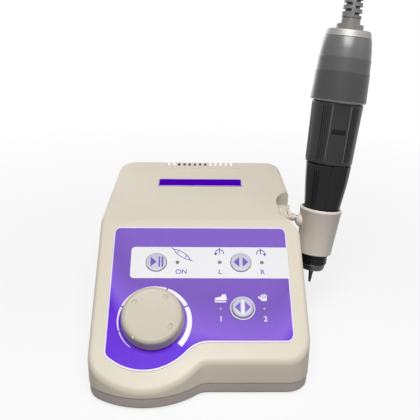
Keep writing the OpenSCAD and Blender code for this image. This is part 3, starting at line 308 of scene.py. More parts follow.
def copies(obj: Obj, matrices: Iterable[Matrix]) -> list[Obj]:
    """Copies of one model at several places, each with its own mesh; the model is removed.

    Args:
        obj: The model.
        matrices: Where the copies go.

    Returns:
        The copies.
    """
    made = []
    for k, matrix in enumerate(matrices):
        twin = obj.copy()
        twin.data = obj.data.copy()
        twin.name = f"{obj.name}_{k + 1}"
        bpy.context.scene.collection.objects.link(twin)
        made.append(place(twin, matrix))
    bpy.data.objects.remove(obj)
    return made


def gather(objs: Sequence[Obj]) -> Obj:
    """Joins several objects.

    Args:
        objs: The objects.

    Returns:
        The first one, with the others in it.
    """
    pick(objs[0])
    for obj in objs:
        obj.select_set(True)
    if len(objs) > 1:
        bpy.ops.object.join()
    return objs[0]


def heal(obj: Obj, gap: float = 2 * WELD) -> Obj:
    """Merges near points and drops the faces that this leaves without area.

    Args:
        obj: Object to mend.
        gap: Distance, in metres, within which points are merged.

    Returns:
        The same object.
    """
    with editing(obj):
        bpy.ops.mesh.remove_doubles(threshold=gap)
        bpy.ops.mesh.dissolve_degenerate(threshold=gap)
    return obj


def modify(obj: Obj, kind: str, **settings: object) -> Obj:
    """Adds a modifier and applies it.

    Args:
        obj: Object that is modified.
        kind: Type of the modifier.
        settings: Its settings.

    Returns:
        The same object.
    """
    modifier = obj.modifiers.new(kind, kind)
    for key, value in settings.items():
        setattr(modifier, key, value)
    pick(obj)
    bpy.ops.object.modifier_apply(modifier=modifier.name)
    return obj


def fuse(obj: Obj, *others: Obj, operation: str = "UNION") -> Obj:
    """Adds other objects to one as a single solid, and removes them.

    Args:
        obj: Object that grows.
        others: Objects that are added.
        operation: What is done with them.

    Returns:
        The same object.
    """
    for other in others:
        modify(obj, "BOOLEAN", operation=operation, solver="EXACT", object=other)
        bpy.data.objects.remove(other)
    return obj


def carve(obj: Obj, *cutters: Obj) -> Obj:
    """Cuts other objects out of one, and removes them."""
    return heal(fuse(obj, *cutters, operation="DIFFERENCE"))


def ease(obj: Obj, width: float, segments: int = 2, angle: float = 30) -> Obj:
    """Rounds every edge sharper than an angle, in degrees."""
    return modify(obj, "BEVEL", width=width * MM, segments=segments, limit_method="ANGLE",
                  angle_limit=math.radians(angle))


def smooth(obj: Obj, angle: float = 32) -> Obj:
    """Shades an object smooth.

    Args:
        obj: Object to shade.
        angle: Angle between faces up to which it is smooth, in degrees.

    Returns:
        The same object.
    """
    pick(obj)
    bpy.ops.object.shade_smooth_by_angle(angle=math.radians(angle))
    return obj


def softened(node: str, width: float) -> Obj:
    """A copy of a CAD node with its edges rounded.

    Args:
        node: Name of the CAD node.
        width: Width of the rounding.

    Returns:
        The new object.
    """
    mesh = frame["nodes"][node].data.copy()
    obj = bpy.data.objects.new(f"{node}_moulded", mesh)
    mesh.materials.clear()
    bpy.context.scene.collection.objects.link(obj)
    with editing(obj):
        bpy.ops.mesh.remove_doubles(threshold=2 * WELD)
        bpy.ops.mesh.dissolve_limited(angle_limit=math.radians(1.5))
    return smooth(ease(obj, width, angle=35))


def settle(obj: Obj, body: Body, finish: "Finish", *nodes: str) -> Obj:
    """Gives a finished piece its material and its body, and hides the CAD nodes it stands for.

    Args:
        obj: The piece.
        body: Body that it moves with.
        finish: Its finish.
        nodes: CAD nodes that it replaces.

    Returns:
        The same piece.
    """
    obj.data.materials.clear()
    obj.data.materials.append(finish.material)
    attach(obj, body.value)
    finish.slot
    if nodes:
        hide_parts(*nodes)
    LOG.info("%s: %d faces on %s, %s", obj.name, len(obj.data.polygons), body.value, finish.name.lower())
    return obj


# Finishes


def linear(colour: Colour) -> tuple[float, float, float, float]:
    """A screen colour as the linear colour that shaders take."""
    return (*(c / 12.92 if c <= 0.04045 else ((c + 0.055) / 1.055) ** 2.4 for c in colour), 1.0)


class Wiring:
    """Adds shader nodes to one tree and links them."""

    def __init__(self, tree: bpy.types.NodeTree) -> None:
        """Starts on an empty tree."""
        self.tree = tree
        tree.nodes.clear()

    @classmethod
    def on(cls, owner: bpy.types.Material | bpy.types.World) -> "Wiring":
        """Starts on the nodes of a material or a world."""
        owner.use_nodes = True
        return cls(owner.node_tree)

    def add(self, kind: str, values: dict | None = None, **settings: object) -> bpy.types.Node:
        """Adds a node.

        Args:
            kind: Type of the node, without its ShaderNode prefix.
            values: Values of its inputs, by name or number; a socket is linked.
            settings: Settings of the node itself.

        Returns:
            The new node.
        """
        node = self.tree.nodes.new(kind if kind.startswith("NodeGroup") else f"ShaderNode{kind}")
        for key, value in settings.items():
            setattr(node, key, value)
        for key, value in (values or {}).items():
            if isinstance(value, Socket):
                self.tree.links.new(value, node.inputs[key])
            else:
                node.inputs[key].default_value = value
        return node

    def math(self, operation: str, *values: object) -> Socket:
        """The result of a calculation."""
        return self.add("Math", dict(enumerate(values)), operation=operation).outputs[0]

    def mix(self, factor: object, a: object, b: object) -> Socket:
        """A blend of two colours, by a factor from 0 to 1."""
        return self.add("Mix", {0: factor, 6: a, 7: b}, data_type="RGBA").outputs[2]

    def spread(self, value: Socket, low: float, high: float, to_low: object = 0.0, to_high: object = 1.0) -> Socket:
        """A value moved from one range to another, and held inside it."""
        return self.add("MapRange", dict(enumerate((value, low, high, to_low, to_high)))).outputs[0]

    def noise(self, where: Socket, scale: object, detail: float, rough: float = 0.5) -> Socket:
        """The value of a noise pattern."""
        values = {"Vector": where, "Scale": scale, "Detail": detail, "Roughness": rough}
        return self.add("TexNoise", values).outputs[0]

    def bump(self, height: Socket, strength: float, distance: float) -> Socket:
        """A normal tilted by heights, whose distance is in metres."""
        return self.add("Bump", {"Strength": strength, "Distance": distance, "Height": height}).outputs[0]

    def coordinate(self, axes: Matrix = Matrix.Identity(4)) -> Socket:
        """Object coordinates, turned into a frame."""
        values = {"Vector": self.add("TexCoord").outputs["Object"], "Location": axes.translation,
                  "Rotation": axes.to_euler()}
        return self.add("Mapping", values, vector_type="TEXTURE").outputs[0]

    def split(self, vector: Socket) -> Sequence[Socket]:
        """The three parts of a vector."""
        return self.add("SeparateXYZ", {0: vector}).outputs

    def ramp(self, value: Socket, steps: Iterable[tuple[float, Colour]], blend: str = "LINEAR") -> Socket:
        """Colours along a ramp.

        Args:
            value: Place along the ramp.
            steps: Place and colour of each step, in order.
            blend: How the ramp goes from step to step.

        Returns:
            The colour.
        """
        node = self.add("ValToRGB", {0: value})
        node.color_ramp.interpolation = blend
        elements = node.color_ramp.elements
        for k, (position, colour) in enumerate(steps):
            element = elements[k] if k < 2 else elements.new(position)
            element.position, element.color = position, linear(colour)
        return node.outputs[0]

    def effect(self, draw: Callable, values: dict) -> Sequence[Socket]:
        """The outputs of a shared effect that is given its own values."""
        return self.add("Group", values, node_tree=Effects.group(draw, values)).outputs


class Effects:
    """Shader groups that several finishes share, each built once by the method that draws it.

    Such a method is given the wiring and the group's inputs by name, and returns its outputs by name.
    """

    kinds = {"Colour": "NodeSocketColor", "Shade": "NodeSocketColor"}

    @classmethod
    def group(cls, draw: Callable[[Wiring, dict], dict], inputs: Iterable[str]) -> bpy.types.NodeTree:
        """The group that a method draws, built at its first use.

        Args:
            draw: The method.
            inputs: Names of the group's inputs.

        Returns:
            The group.
        """
        tree = bpy.data.node_groups.get(draw.__name__)
        if tree is None:
            tree = bpy.data.node_groups.new(draw.__name__, "ShaderNodeTree")
            wiring = Wiring(tree)
            for key in inputs:
                tree.interface.new_socket(key, in_out="INPUT", socket_type=cls.kinds.get(key, "NodeSocketFloat"))
            outputs = draw(wiring, {s.name: s for s in wiring.add("NodeGroupInput").outputs})
            for key in outputs:
                tree.interface.new_socket(key, in_out="OUTPUT", socket_type=cls.kinds.get(key, "NodeSocketFloat"))
            wiring.add("NodeGroupOutput", outputs)
        return tree

    @staticmethod
    def moulded_skin(w: Wiring, given: dict) -> dict[str, Socket]:
        """Spark-eroded moulding: fine grain, a slow drift of tone and uneven gloss.

        Args:
            w: Wiring of the group.
            given: The group's inputs.

        Returns:
            The group's outputs.
        """
        where = w.coordinate()
        drift, specks = w.noise(where, 26.0, 3.0), w.noise(where, 900.0, 1.0)
        base = w.mix(w.spread(drift, 0.35, 0.65, 0.0, 0.5), given["Colour"], given["Shade"])
        return {"Colour": w.mix(w.spread(specks, 0.64, 0.74, 0.0, 0.35), base, given["Shade"]),
                "Roughness": w.spread(drift, 0.3, 0.7, given["Smooth"], given["Rough"]),
                "Height": w.noise(where, given["Scale"], 3.0, 0.6)}

    @staticmethod
    def turned_lines(w: Wiring, given: dict) -> dict[str, Socket]:
        """Fine tool lines round the handpiece's axis, with a little uneven tone.

        Args:
            w: Wiring of the group.
            given: The group's inputs.

        Returns:
            The group's outputs.
        """
        along = w.coordinate(HAND)
        x, y, z = w.split(along)
        drawn_out = w.add("CombineXYZ", {0: w.math("MULTIPLY", x, 0.02), 1: w.math("MULTIPLY", y, 0.02), 2: z})
        lines = w.noise(drawn_out.outputs[0], given["Scale"], 4.0)
        both = w.math("MULTIPLY", lines, w.noise(along, 60.0, 2.0))
        return {"Colour": w.mix(w.spread(both, 0.15, 0.36), given["Colour"], given["Shade"]),
                "Roughness": w.spread(lines, 0.3, 0.7, given["Smooth"], given["Rough"]), "Height": lines}

    @staticmethod
    def handling_marks(w: Wiring, given: dict) -> dict[str, Socket]:
        """Faint finger marks: soft blots that dull a gloss.

        Args:
            w: Wiring of the group.
            given: The group's inputs.

        Returns:
            The group's outputs.
        """
        mask = w.spread(w.noise(w.coordinate(), 55.0, 4.0, 0.55), 0.35, 0.75)
        return {"Colour": w.mix(mask, given["Colour"], given["Shade"]),
                "Roughness": w.spread(mask, 0.0, 1.0, given["Smooth"], given["Rough"])}


@dataclass(frozen=True)
class Toned:
    """A finish in two tones that drift into each other, with uneven gloss."""

    slot: str
    colour: Colour
    shade: Colour
    smooth: float
    rough: float

    @property
    def tones(self) -> dict[str, object]:
        """Its values, as a shared effect takes them."""
        return {"Colour": linear(self.colour), "Shade": linear(self.shade), "Smooth": self.smooth,
                "Rough": self.rough}


@dataclass(frozen=True)
class Moulded(Toned):
    """Moulded plastic or rubber with a fine grain."""

    scale: float
    grain: float
    coat: float = 0.0

    def inputs(self, w: Wiring) -> dict[str, object]:
        """What the shader is given."""
        skin = w.effect(Effects.moulded_skin, {**self.tones, "Scale": self.scale})
        return {"Base Color": skin["Colour"], "Roughness": skin["Roughness"], "Coat Weight": self.coat,
                "Coat Roughness": 0.12, "Normal": w.bump(skin["Height"], self.grain, 0.0002)}


@dataclass(frozen=True)
class Glossy(Toned):
    """Polished plastic or printed film that takes finger marks."""

    coat: float = 0.0
    shine: float = 0.5

    def inputs(self, w: Wiring) -> dict[str, object]:
        """What the shader is given."""
        marks = w.effect(Effects.handling_marks, self.tones)
        return {"Base Color": marks["Colour"], "Roughness": marks["Roughness"], "Coat Weight": self.coat,
                "Coat Roughness": 0.08, "Specular IOR Level": self.shine}


@dataclass(frozen=True)
class Turned(Toned):
    """Metal with fine lines from turning or grinding."""

    scale: float = 2600.0
    lines: float = 0.05
    metallic: float = 1.0

    def inputs(self, w: Wiring) -> dict[str, object]:
        """What the shader is given."""
        turned = w.effect(Effects.turned_lines, {**self.tones, "Scale": self.scale})
        return {"Base Color": turned["Colour"], "Roughness": turned["Roughness"], "Metallic": self.metallic,
                "Normal": w.bump(turned["Height"], self.lines, 0.0001)}


@dataclass(frozen=True)
class Film:
    """The panel's purple film, with painted reflection: deeper along its lower edge, lighter towards the middle."""

    slot: str
    tints_and_sheen: tuple[Colour, ...]
    stops: tuple[float, ...] = (0.17, 0.33, 0.60, 1.0)
    half_width: float = 50.0
    start: float = 0.25
    lean: float = 0.16
    bow: float = -0.25
    bow_power: float = 6.0
    marked: float = 0.15
    shine: float = 0.1

    def inputs(self, w: Wiring) -> dict[str, object]:
        """What the shader is given: purple tints with painted reflection, rising up the deck, leant and bowed
        across it.

        Args:
            w: Wiring of the material.

        Returns:
            Values and sockets, by input.
        """
        x, s, _ = w.split(w.coordinate(PLAN.on_deck()))
        side = w.math("MULTIPLY", x, 1 / (self.half_width * MM))
        rise = w.math("MULTIPLY_ADD", s, 1 / (PLAN.panel_length * MM), self.start)
        for part, share in ((side, self.lean), (w.math("POWER", side, self.bow_power), self.bow)):
            rise = w.math("MULTIPLY_ADD", part, share, rise)
        # The ramp's paler tints, up the deck and towards the middle, are painted reflection on the film.
        tint_and_sheen = w.ramp(rise, zip(self.stops, self.tints_and_sheen))
        marks = w.effect(Effects.handling_marks, {"Colour": tint_and_sheen, "Shade": linear(self.tints_and_sheen[2]), "Smooth": 0.24,
                                                  "Rough": 0.34})
        return {"Base Color": w.mix(self.marked, tint_and_sheen, marks["Colour"]), "Roughness": marks["Roughness"],
                "Specular IOR Level": self.shine}


@dataclass(frozen=True)
class Faceted:
    """Grip plastic: satin between the facets, polished on them. Angles are in degrees."""

    slot: str
    satin: Colour
    polished: Colour
    first: float = -68.0
    spacing: float = 120.0
    half_width: float = 27.0
    fade: float = 0.03
    gloss: float = 0.16

    def inputs(self, w: Wiring) -> dict[str, object]:
        """What the shader is given: a mask by the angle from the nearest facet's middle.

        Args:
            w: Wiring of the material.

        Returns:
            Values and sockets, by input.
        """
        x, y, _ = w.split(w.coordinate(HAND))
        angle = w.math("SUBTRACT", w.math("ARCTAN2", y, x), math.radians(self.first))
        half, edge = math.radians(self.spacing / 2), math.radians(self.half_width)
        away = w.math("ABSOLUTE", w.math("WRAP", angle, half, -half))
        mask = w.spread(away, edge - self.fade, edge + self.fade)
        marks = w.effect(Effects.handling_marks, {"Colour": linear(self.satin), "Shade": linear(self.satin),
                                                  "Smooth": 0.30, "Rough": 0.40})
        return {"Base Color": w.mix(mask, linear(self.polished), marks["Colour"]), "Specular IOR Level": 0.25,
                "Roughness": w.spread(mask, 0.0, 1.0, self.gloss, marks["Roughness"])}


@dataclass(frozen=True)
class Banded:
    """Satin paint along the handpiece, with painted light and shade in bands: a painted highlight at its lower lip,
    then darker low down and lighter towards its tapered top.
    """

    slot: str
    tones: tuple[Colour, ...]
    edges: tuple[float, ...]
    span: Point = (66.2, 103.6)
    mottle: float = 0.25

    def inputs(self, w: Wiring) -> dict[str, object]:
        """What the shader is given: bands of painted light and shade by the height along the axis.

        Args:
            w: Wiring of the material.

        Returns:
            Values and sockets, by input.
        """
        low, high = self.span
        rise = w.spread(w.split(w.coordinate(HAND))[2], low * MM, high * MM)
        shaded_band = w.ramp(rise, zip((0.0, *self.edges), self.tones), "CONSTANT")
        skin = w.effect(Effects.moulded_skin, {"Colour": shaded_band, "Shade": linear(self.tones[1]), "Smooth": 0.30,
                                               "Rough": 0.38, "Scale": 2200.0})
        return {"Base Color": w.mix(self.mottle, shaded_band, skin["Colour"]), "Roughness": skin["Roughness"],
                "Metallic": 0.35, "Normal": w.bump(skin["Height"], 0.04, 0.0001)}


class Finish(Enum):
    """Every finish on the object."""

    HOUSING = Moulded("housing_beige", (0.875, 0.84, 0.765), (0.855, 0.818, 0.74), 0.40, 0.50, 1500, 0.05)
    BASE = Moulded("base_beige", (0.76, 0.715, 0.69), (0.735, 0.69, 0.665), 0.42, 0.52, 1500, 0.05)
    # A darker copy of the housing's beige: painted shade to offset the stronger light on the knob.
    KNOB = Moulded("housing_beige", (0.80, 0.765, 0.695), (0.78, 0.745, 0.67), 0.36, 0.46, 1800, 0.04)
    # A lighter copy of the housing's beige: painted light on the cup's front-facing wall.
    CUP = Moulded("housing_beige", (0.895, 0.855, 0.81), (0.88, 0.84, 0.79), 0.34, 0.44, 1500, 0.04)
    BRACKET = Moulded("housing_beige", (0.86, 0.82, 0.76), (0.84, 0.80, 0.735), 0.40, 0.5, 1500, 0.05)
    # Film tints from deep to pale; the pale ones, up the deck and towards the middle, are painted reflection.
    FILM = Film("panel_purple", ((0.40, 0.13, 0.87), (0.555, 0.395, 0.875), (0.49, 0.36, 0.745),
                                 (0.53, 0.405, 0.795)))
    STRIP = Glossy("panel_purple", (0.925, 0.925, 0.93), (0.91, 0.91, 0.92), 0.28, 0.38)
    PALE_INK = Glossy("panel_purple", (0.93, 0.915, 0.97), (0.91, 0.895, 0.955), 0.3, 0.4)
    VIOLET_INK = Glossy("panel_purple", (0.40, 0.28, 0.72), (0.385, 0.265, 0.69), 0.3, 0.4)
    LABEL = Glossy("panel_purple", (0.31, 0.0, 0.73), (0.33, 0.02, 0.74), 0.4, 0.5, 0.0, 0.0)
    KEY = Moulded("button_grey", (0.78, 0.775, 0.84), (0.76, 0.755, 0.82), 0.30, 0.40, 2200, 0.03)
    BEZEL = Glossy("lamp_clear", (0.86, 0.86, 0.90), (0.83, 0.83, 0.88), 0.1, 0.18, 0.5)
    LAMP = Glossy("lamp_clear", (0.47, 0.47, 0.47), (0.42, 0.42, 0.43), 0.12, 0.22, 0.3)
    ROSE_LAMP = Glossy("lamp_clear", (0.70, 0.50, 0.72), (0.64, 0.44, 0.68), 0.12, 0.22, 0.3)
    GRIP = Glossy("black_plastic", (0.175, 0.175, 0.18), (0.21, 0.21, 0.215), 0.26, 0.38, 0.0, 0.3)
    FACETS = Faceted("black_plastic", (0.09, 0.09, 0.10), (0.03, 0.035, 0.04))
    # Lighter grey for the rails on the twist ring's flats: a painted highlight along their edges.
    EDGE_HIGHLIGHT = Glossy("black_plastic", (0.38, 0.38, 0.39), (0.33, 0.33, 0.34), 0.26, 0.38)
    RING = Glossy("black_plastic", (0.07, 0.07, 0.08), (0.10, 0.10, 0.11), 0.25, 0.38, 0.0, 0.2)
    BLACK = Moulded("black_plastic", (0.11, 0.11, 0.12), (0.14, 0.14, 0.15), 0.30, 0.42, 1800, 0.05)
    DARK = Moulded("dark_plastic", (0.25, 0.25, 0.265), (0.29, 0.29, 0.30), 0.42, 0.55, 1600, 0.06)
    # Sleeve tones from its lower lip up: a painted highlight, then painted shade that lightens towards the tapered
    # top.
    SLEEVE = Banded("sleeve_grey", ((0.52, 0.515, 0.515), (0.285, 0.283, 0.285), (0.35, 0.348, 0.35),
                                    (0.415, 0.412, 0.415)), (0.02, 0.475, 0.695))
    CAP = Turned("sleeve_grey", (0.53, 0.52, 0.51), (0.42, 0.41, 0.405), 0.30, 0.44, 2600, 0.05, 0.6)
    BOOT = Moulded("sleeve_grey", (0.50, 0.50, 0.495), (0.44, 0.44, 0.435), 0.28, 0.40, 1800, 0.05)
    BRIGHT = Turned("bright_metal", (0.65, 0.64, 0.625), (0.58, 0.57, 0.56), 0.46, 0.58, 2200, 0.04)
    STEEL = Turned("steel", (0.66, 0.66, 0.67), (0.54, 0.54, 0.56), 0.24, 0.42)
    NOSE = Turned("dark_steel", (0.36, 0.36, 0.375), (0.27, 0.27, 0.285), 0.26, 0.42)
    BURR = Turned("dark_steel", (0.30, 0.30, 0.32), (0.20, 0.20, 0.22), 0.36, 0.6, 5200, 0.3)
    COPPER = Turned("copper_wire", (0.74, 0.44, 0.26), (0.58, 0.31, 0.17), 0.26, 0.42, 3000, 0.2)
    BRASS = Turned("brass_metal", (0.79, 0.66, 0.38), (0.66, 0.53, 0.28), 0.24, 0.38)
    BOARD = Moulded("board_green", (0.12, 0.38, 0.24), (0.16, 0.44, 0.28), 0.34, 0.48, 1200, 0.08, 0.3)
    FOOT = Moulded("foot_rubber", (0.20, 0.20, 0.205), (0.24, 0.24, 0.245), 0.6, 0.75, 1400, 0.1)
    CORD = Moulded("cord_rubber", (0.23, 0.23, 0.24), (0.27, 0.27, 0.28), 0.46, 0.6, 1600, 0.1)
    FINS = Turned("aluminium_fins", (0.72, 0.73, 0.74), (0.6, 0.61, 0.63), 0.3, 0.45)

    @property
    def slot(self) -> str:
        """The record's material slot."""
        return self.value.slot

    @property
    def material(self) -> bpy.types.Material:
        """The Blender material, built at its first use.

        Returns:
            The material.
        """
        name = f"{self.name.lower()}_finish"
        if name not in bpy.data.materials:
            wiring = Wiring.on(bpy.data.materials.new(name))
            shader = wiring.add("BsdfPrincipled", self.value.inputs(wiring))
            wiring.add("OutputMaterial", {"Surface": shader.outputs[0]})
        return bpy.data.materials[name]


# Shared sizes and frames


@dataclass(frozen=True)
class BoxPlan:
    """Outline and main planes of the control box, placed by the CAD housing. Slopes are in degrees."""

    middle_x: float
    rear_y: float
    width: float = 120.0
    depth: float = 153.0
    source_rear: float = 83.0
    lobe_reach: float = 13.0
    lobe_radius: float = 43.6
    lobe_inset: float = 30.0
    corner_radius: float = 13.0
    cove_radius: float = 9.0
    rear_radius: float = 11.0
    rear_width: float = 111.0
    wall: float = 2.4
    parting: float = 8.5
    floor: float = 2.2
    foot_stand: float = 1.2
    deck_tilt: float = 35.5
    deck_front: float = 22.0
    deck_run: float = 72.4
    top_rise: float = 8.0
    panel_border: float = 8.7
    panel_length: float = 72.4
    panel_corner: float = 3.6
    label_at: float = 48.0

    @classmethod
    def of_housing(cls) -> "BoxPlan":
        """The plan, where the CAD housing stands."""
        low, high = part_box("upper_housing")
        return cls((low.x + high.x) / 2 / MM, high.y / MM)

    @property
    def front_y(self) -> float:
        """Straight front wall."""
        return self.rear_y - self.depth

    @property
    def crease_y(self) -> float:
        """Line where the deck meets the top."""
        return self.front_y + self.deck_run

    @property
    def panel_y(self) -> float:
        """Lower edge of the printed panel."""
        return self.front_y + self.panel_border

    def deck_z(self, y: float) -> float:
        """Height of the deck plane."""
        return self.deck_front + (y - self.front_y) * math.tan(math.radians(self.deck_tilt))

    def top_z(self, y: float) -> float:
        """Height of the top plane."""
        return self.deck_z(self.crease_y) + (y - self.crease_y) * math.tan(math.radians(self.top_rise))

    def at(self, x: float, y: float, z: float) -> Vector:
        """A point of the CAD source, which starts from the box's own middle."""
        return Vector((self.middle_x + x, self.rear_y + y - self.source_rear, z))

    def to(self, x: float, y: float, z: float = 0) -> Matrix:
        """The move to a point of the CAD source."""
        return shift(*self.at(x, y, z))

    def blank(self, name: str, low: Spot, high: Spot) -> Obj:
        """A block between two points of the CAD source."""
        return block(name, self.at(*low), self.at(*high))

    def on_deck(self, x: float = 0, s: float = 0, n: float = 0) -> Matrix:
        """Frame on the deck: x across, s up the slope from the panel's lower edge, n outwards."""
        origin = shift(self.middle_x, self.panel_y, self.deck_z(self.panel_y))
        return origin @ turn(self.deck_tilt, "X") @ shift(x, s, n)

    def on_label(self) -> Matrix:
        """Frame in the middle of the label on the top."""
        origin = shift(self.middle_x, self.crease_y, self.deck_z(self.crease_y))
        return origin @ turn(self.top_rise, "X") @ shift(0, self.label_at, 0)

    def front_outline(self, inset: float) -> list[Point]:
        """Front of the box's outline, from the left corner round the lobe to the right.

        Args:
            inset: How far it is drawn in.

        Returns:
            The points, with x from the box's middle.
        """
        half, corner = self.width / 2, self.corner_radius
        lobe = Vector((self.lobe_inset - half, self.front_y - self.lobe_reach + self.lobe_radius))
        x, y = corner - half, self.front_y - self.cove_radius
        left = Vector((x, lobe.y - math.sqrt((self.lobe_radius - corner) ** 2 - (x - lobe.x) ** 2)))
        cove = Vector((lobe.x + math.sqrt((self.lobe_radius + self.cove_radius) ** 2 - (y - lobe.y) ** 2), y))
        a_left, a_cove = (math.degrees(math.atan2(*(spot - lobe).yx)) for spot in (left, cove))
        return (arc(left, corner - inset, -180, a_left, 10)[:-1]
                + arc(lobe, self.lobe_radius - inset, a_left, a_cove, 36)[:-1]
                + arc(cove, self.cove_radius + inset, a_cove + 180, 90, 12)
                + arc((half - corner, self.front_y + corner), corner - inset, -90, 0, 12))

    def outline(self, inset: float) -> list[Point]:
        """Outline of the box in plan.

        Args:
            inset: How far it is drawn in.

        Returns:
            The points.
        """
        half, radius, y = self.width / 2, self.rear_radius - inset, self.rear_y - self.rear_radius
        taper = math.atan((self.width - self.rear_width) / 2 / (self.rear_y - self.crease_y))
        x = half - (y - self.crease_y) * math.tan(taper) - self.rear_radius / math.cos(taper)
        lean = math.degrees(taper)
        rear = ([(half - inset, self.crease_y)] + arc((x, y), radius, lean, 90, 12)
                + arc((-x, y), radius, 90, 180 - lean, 12) + [(inset - half, self.crease_y)])
        return [(self.middle_x + px, py) for px, py in self.front_outline(inset) + rear]

    def panel_outline(self, inset: float) -> list[Point]:
        """Outline of the printed panel in the deck's frame.

        Args:
            inset: How far it is drawn in.

        Returns:
            The points.
        """
        slope = math.cos(math.radians(self.deck_tilt))
        border, radius = self.panel_border + inset, self.panel_corner - inset
        x = self.width / 2 - border - radius
        y = self.panel_y + self.panel_length * slope - inset - radius
        points = self.front_outline(border) + arc((x, y), radius, 0, 90, 6) + arc((-x, y), radius, 90, 180, 6)
        return [(px, (py - self.panel_y) / slope) for px, py in points]


def hand_frame() -> Matrix:
    """Frame of the handpiece, from the CAD model's joints.

    Returns:
        The frame: Z up the handpiece's axis from the rim of the cup, X away from the box.
    """
    joints = {joint["name"]: joint for joint in frame["joints"]}
    up, across = (Vector(joints[name]["axis"]).normalized() for name in ("spindle_spin", "holder_tilt"))
    axes = Matrix((across, up.cross(across), up)).transposed().to_4x4()
    return Matrix.Translation(joints["spindle_spin"]["pos_m"]) @ axes


PLAN = BoxPlan.of_housing()
HAND = hand_frame()


# Camera, light and floor


@dataclass
class Studio:
    """Plain pale floor, soft light and the camera at the photograph's place. Lights are in metres and watts."""

    frame_pixels: int = 420
    focal_pixels: float = 620.0
    sensor: float = 36.0
    camera_at: Spot = (-2.62, -344.54, 218.58)
    right: Spot = (0.99973, -0.01861, 0.01357)
    down: Spot = (0.00567, -0.37209, -0.92818)
    clip: Point = (0.01, 50)
    floor_bounce: Colour = (0.36, 0.35, 0.37)
    floor_shade: Colour = (0.96, 0.96, 0.96)
    floor_reach: float = 6.0
    floor_drop: float = 0.00005
    shadow_reach: Point = (0.14, 0.55)
    shadow_share: float = 0.22
    sky: tuple = ((0.33, 0.32, 0.36, 1), (0.95, 0.94, 0.98, 1))
    sky_strength: float = 0.17
    lamps: tuple = (("key", (0.0, -0.50, 0.77), (0, -0.02, 0.05), 0.5, 6.7),
                    ("fill", (0.70, -0.30, 0.60), (0.02, 0, 0.1), 0.6, 0.6),
                    ("rear", (-0.25, 0.90, 0.24), (0.02, 0, 0.08), 0.6, 2.0))

    def place_camera(self) -> None:
        """Adds the camera."""
        data = bpy.data.cameras.new("camera")
        data.sensor_width = self.sensor
        data.lens = self.focal_pixels / self.frame_pixels * self.sensor
        data.clip_start, data.clip_end = self.clip
        camera = bpy.data.objects.new("camera", data)
        bpy.context.scene.collection.objects.link(camera)
        right, up = Vector(self.right).normalized(), -Vector(self.down).normalized()
        axes = Matrix((right, up, right.cross(up))).transposed().to_4x4()
        camera.matrix_world = PLAN.to(*self.camera_at) @ axes
        bpy.context.scene.camera = camera

    @staticmethod
    def seen(w: Wiring) -> Socket:
        """Tells what the camera sees, straight on, in a reflection or through glass, from other light.

        Args:
            w: Wiring of the floor or of the sky.

        Returns:
            1 where the camera looks and 0 for other light.
        """
        path = w.add("LightPath").outputs
        first = w.math("MAXIMUM", path["Is Camera Ray"], path["Is Glossy Ray"])
        return w.math("MAXIMUM", first, path["Is Transmission Ray"])

    def lay_floor(self) -> None:
        """Adds the floor, which is white to the camera and keeps the object's shadow."""
        floor = fresh("floor", bpy.ops.mesh.primitive_plane_add, size=self.floor_reach,
                      location=(0, 0, -self.floor_drop))
        material = bpy.data.materials.new("floor")
        w = Wiring.on(material)
        seen = self.seen(w)
        diffuse = w.add("BsdfDiffuse", {0: w.mix(seen, linear(self.floor_bounce), linear(self.floor_shade))})
        white = w.add("Emission", {"Color": (1, 1, 1, 1), "Strength": 1.0})
        away = w.add("VectorMath", {0: w.add("TexCoord").outputs["Object"]}, operation="LENGTH")
        clear = w.spread(away.outputs["Value"], *self.shadow_reach, 1 - self.shadow_share, 1.0)
        mixed = w.add("MixShader", {0: w.math("MULTIPLY", seen, clear), 1: diffuse.outputs[0], 2: white.outputs[0]})
        w.add("OutputMaterial", {"Surface": mixed.outputs[0]})
        floor.data.materials.append(material)

    def light(self) -> None:
        """Sets the sky and the soft square lamps."""
        bpy.context.scene.world = bpy.data.worlds.new("studio")
        w = Wiring.on(bpy.context.scene.world)
        height = w.spread(w.split(w.add("TexCoord").outputs["Generated"])[2], 0.0, 1.0)
        ambient = w.add("Background", {"Color": w.mix(height, *self.sky), "Strength": self.sky_strength})
        white = w.add("Background", {"Color": (1, 1, 1, 1), "Strength": 1.0})
        mixed = w.add("MixShader", {0: self.seen(w), 1: ambient.outputs[0], 2: white.outputs[0]})
        w.add("OutputWorld", {"Surface": mixed.outputs[0]})
        for name, spot, target, size, power in self.lamps:
            data = bpy.data.lights.new(name, "AREA")
            data.size, data.energy = size, power
            lamp = bpy.data.objects.new(name, data)
            lamp.location = spot
            lamp.rotation_euler = (Vector(target) - Vector(spot)).to_track_quat("-Z", "Y").to_euler()
            bpy.context.scene.collection.objects.link(lamp)


# Cord


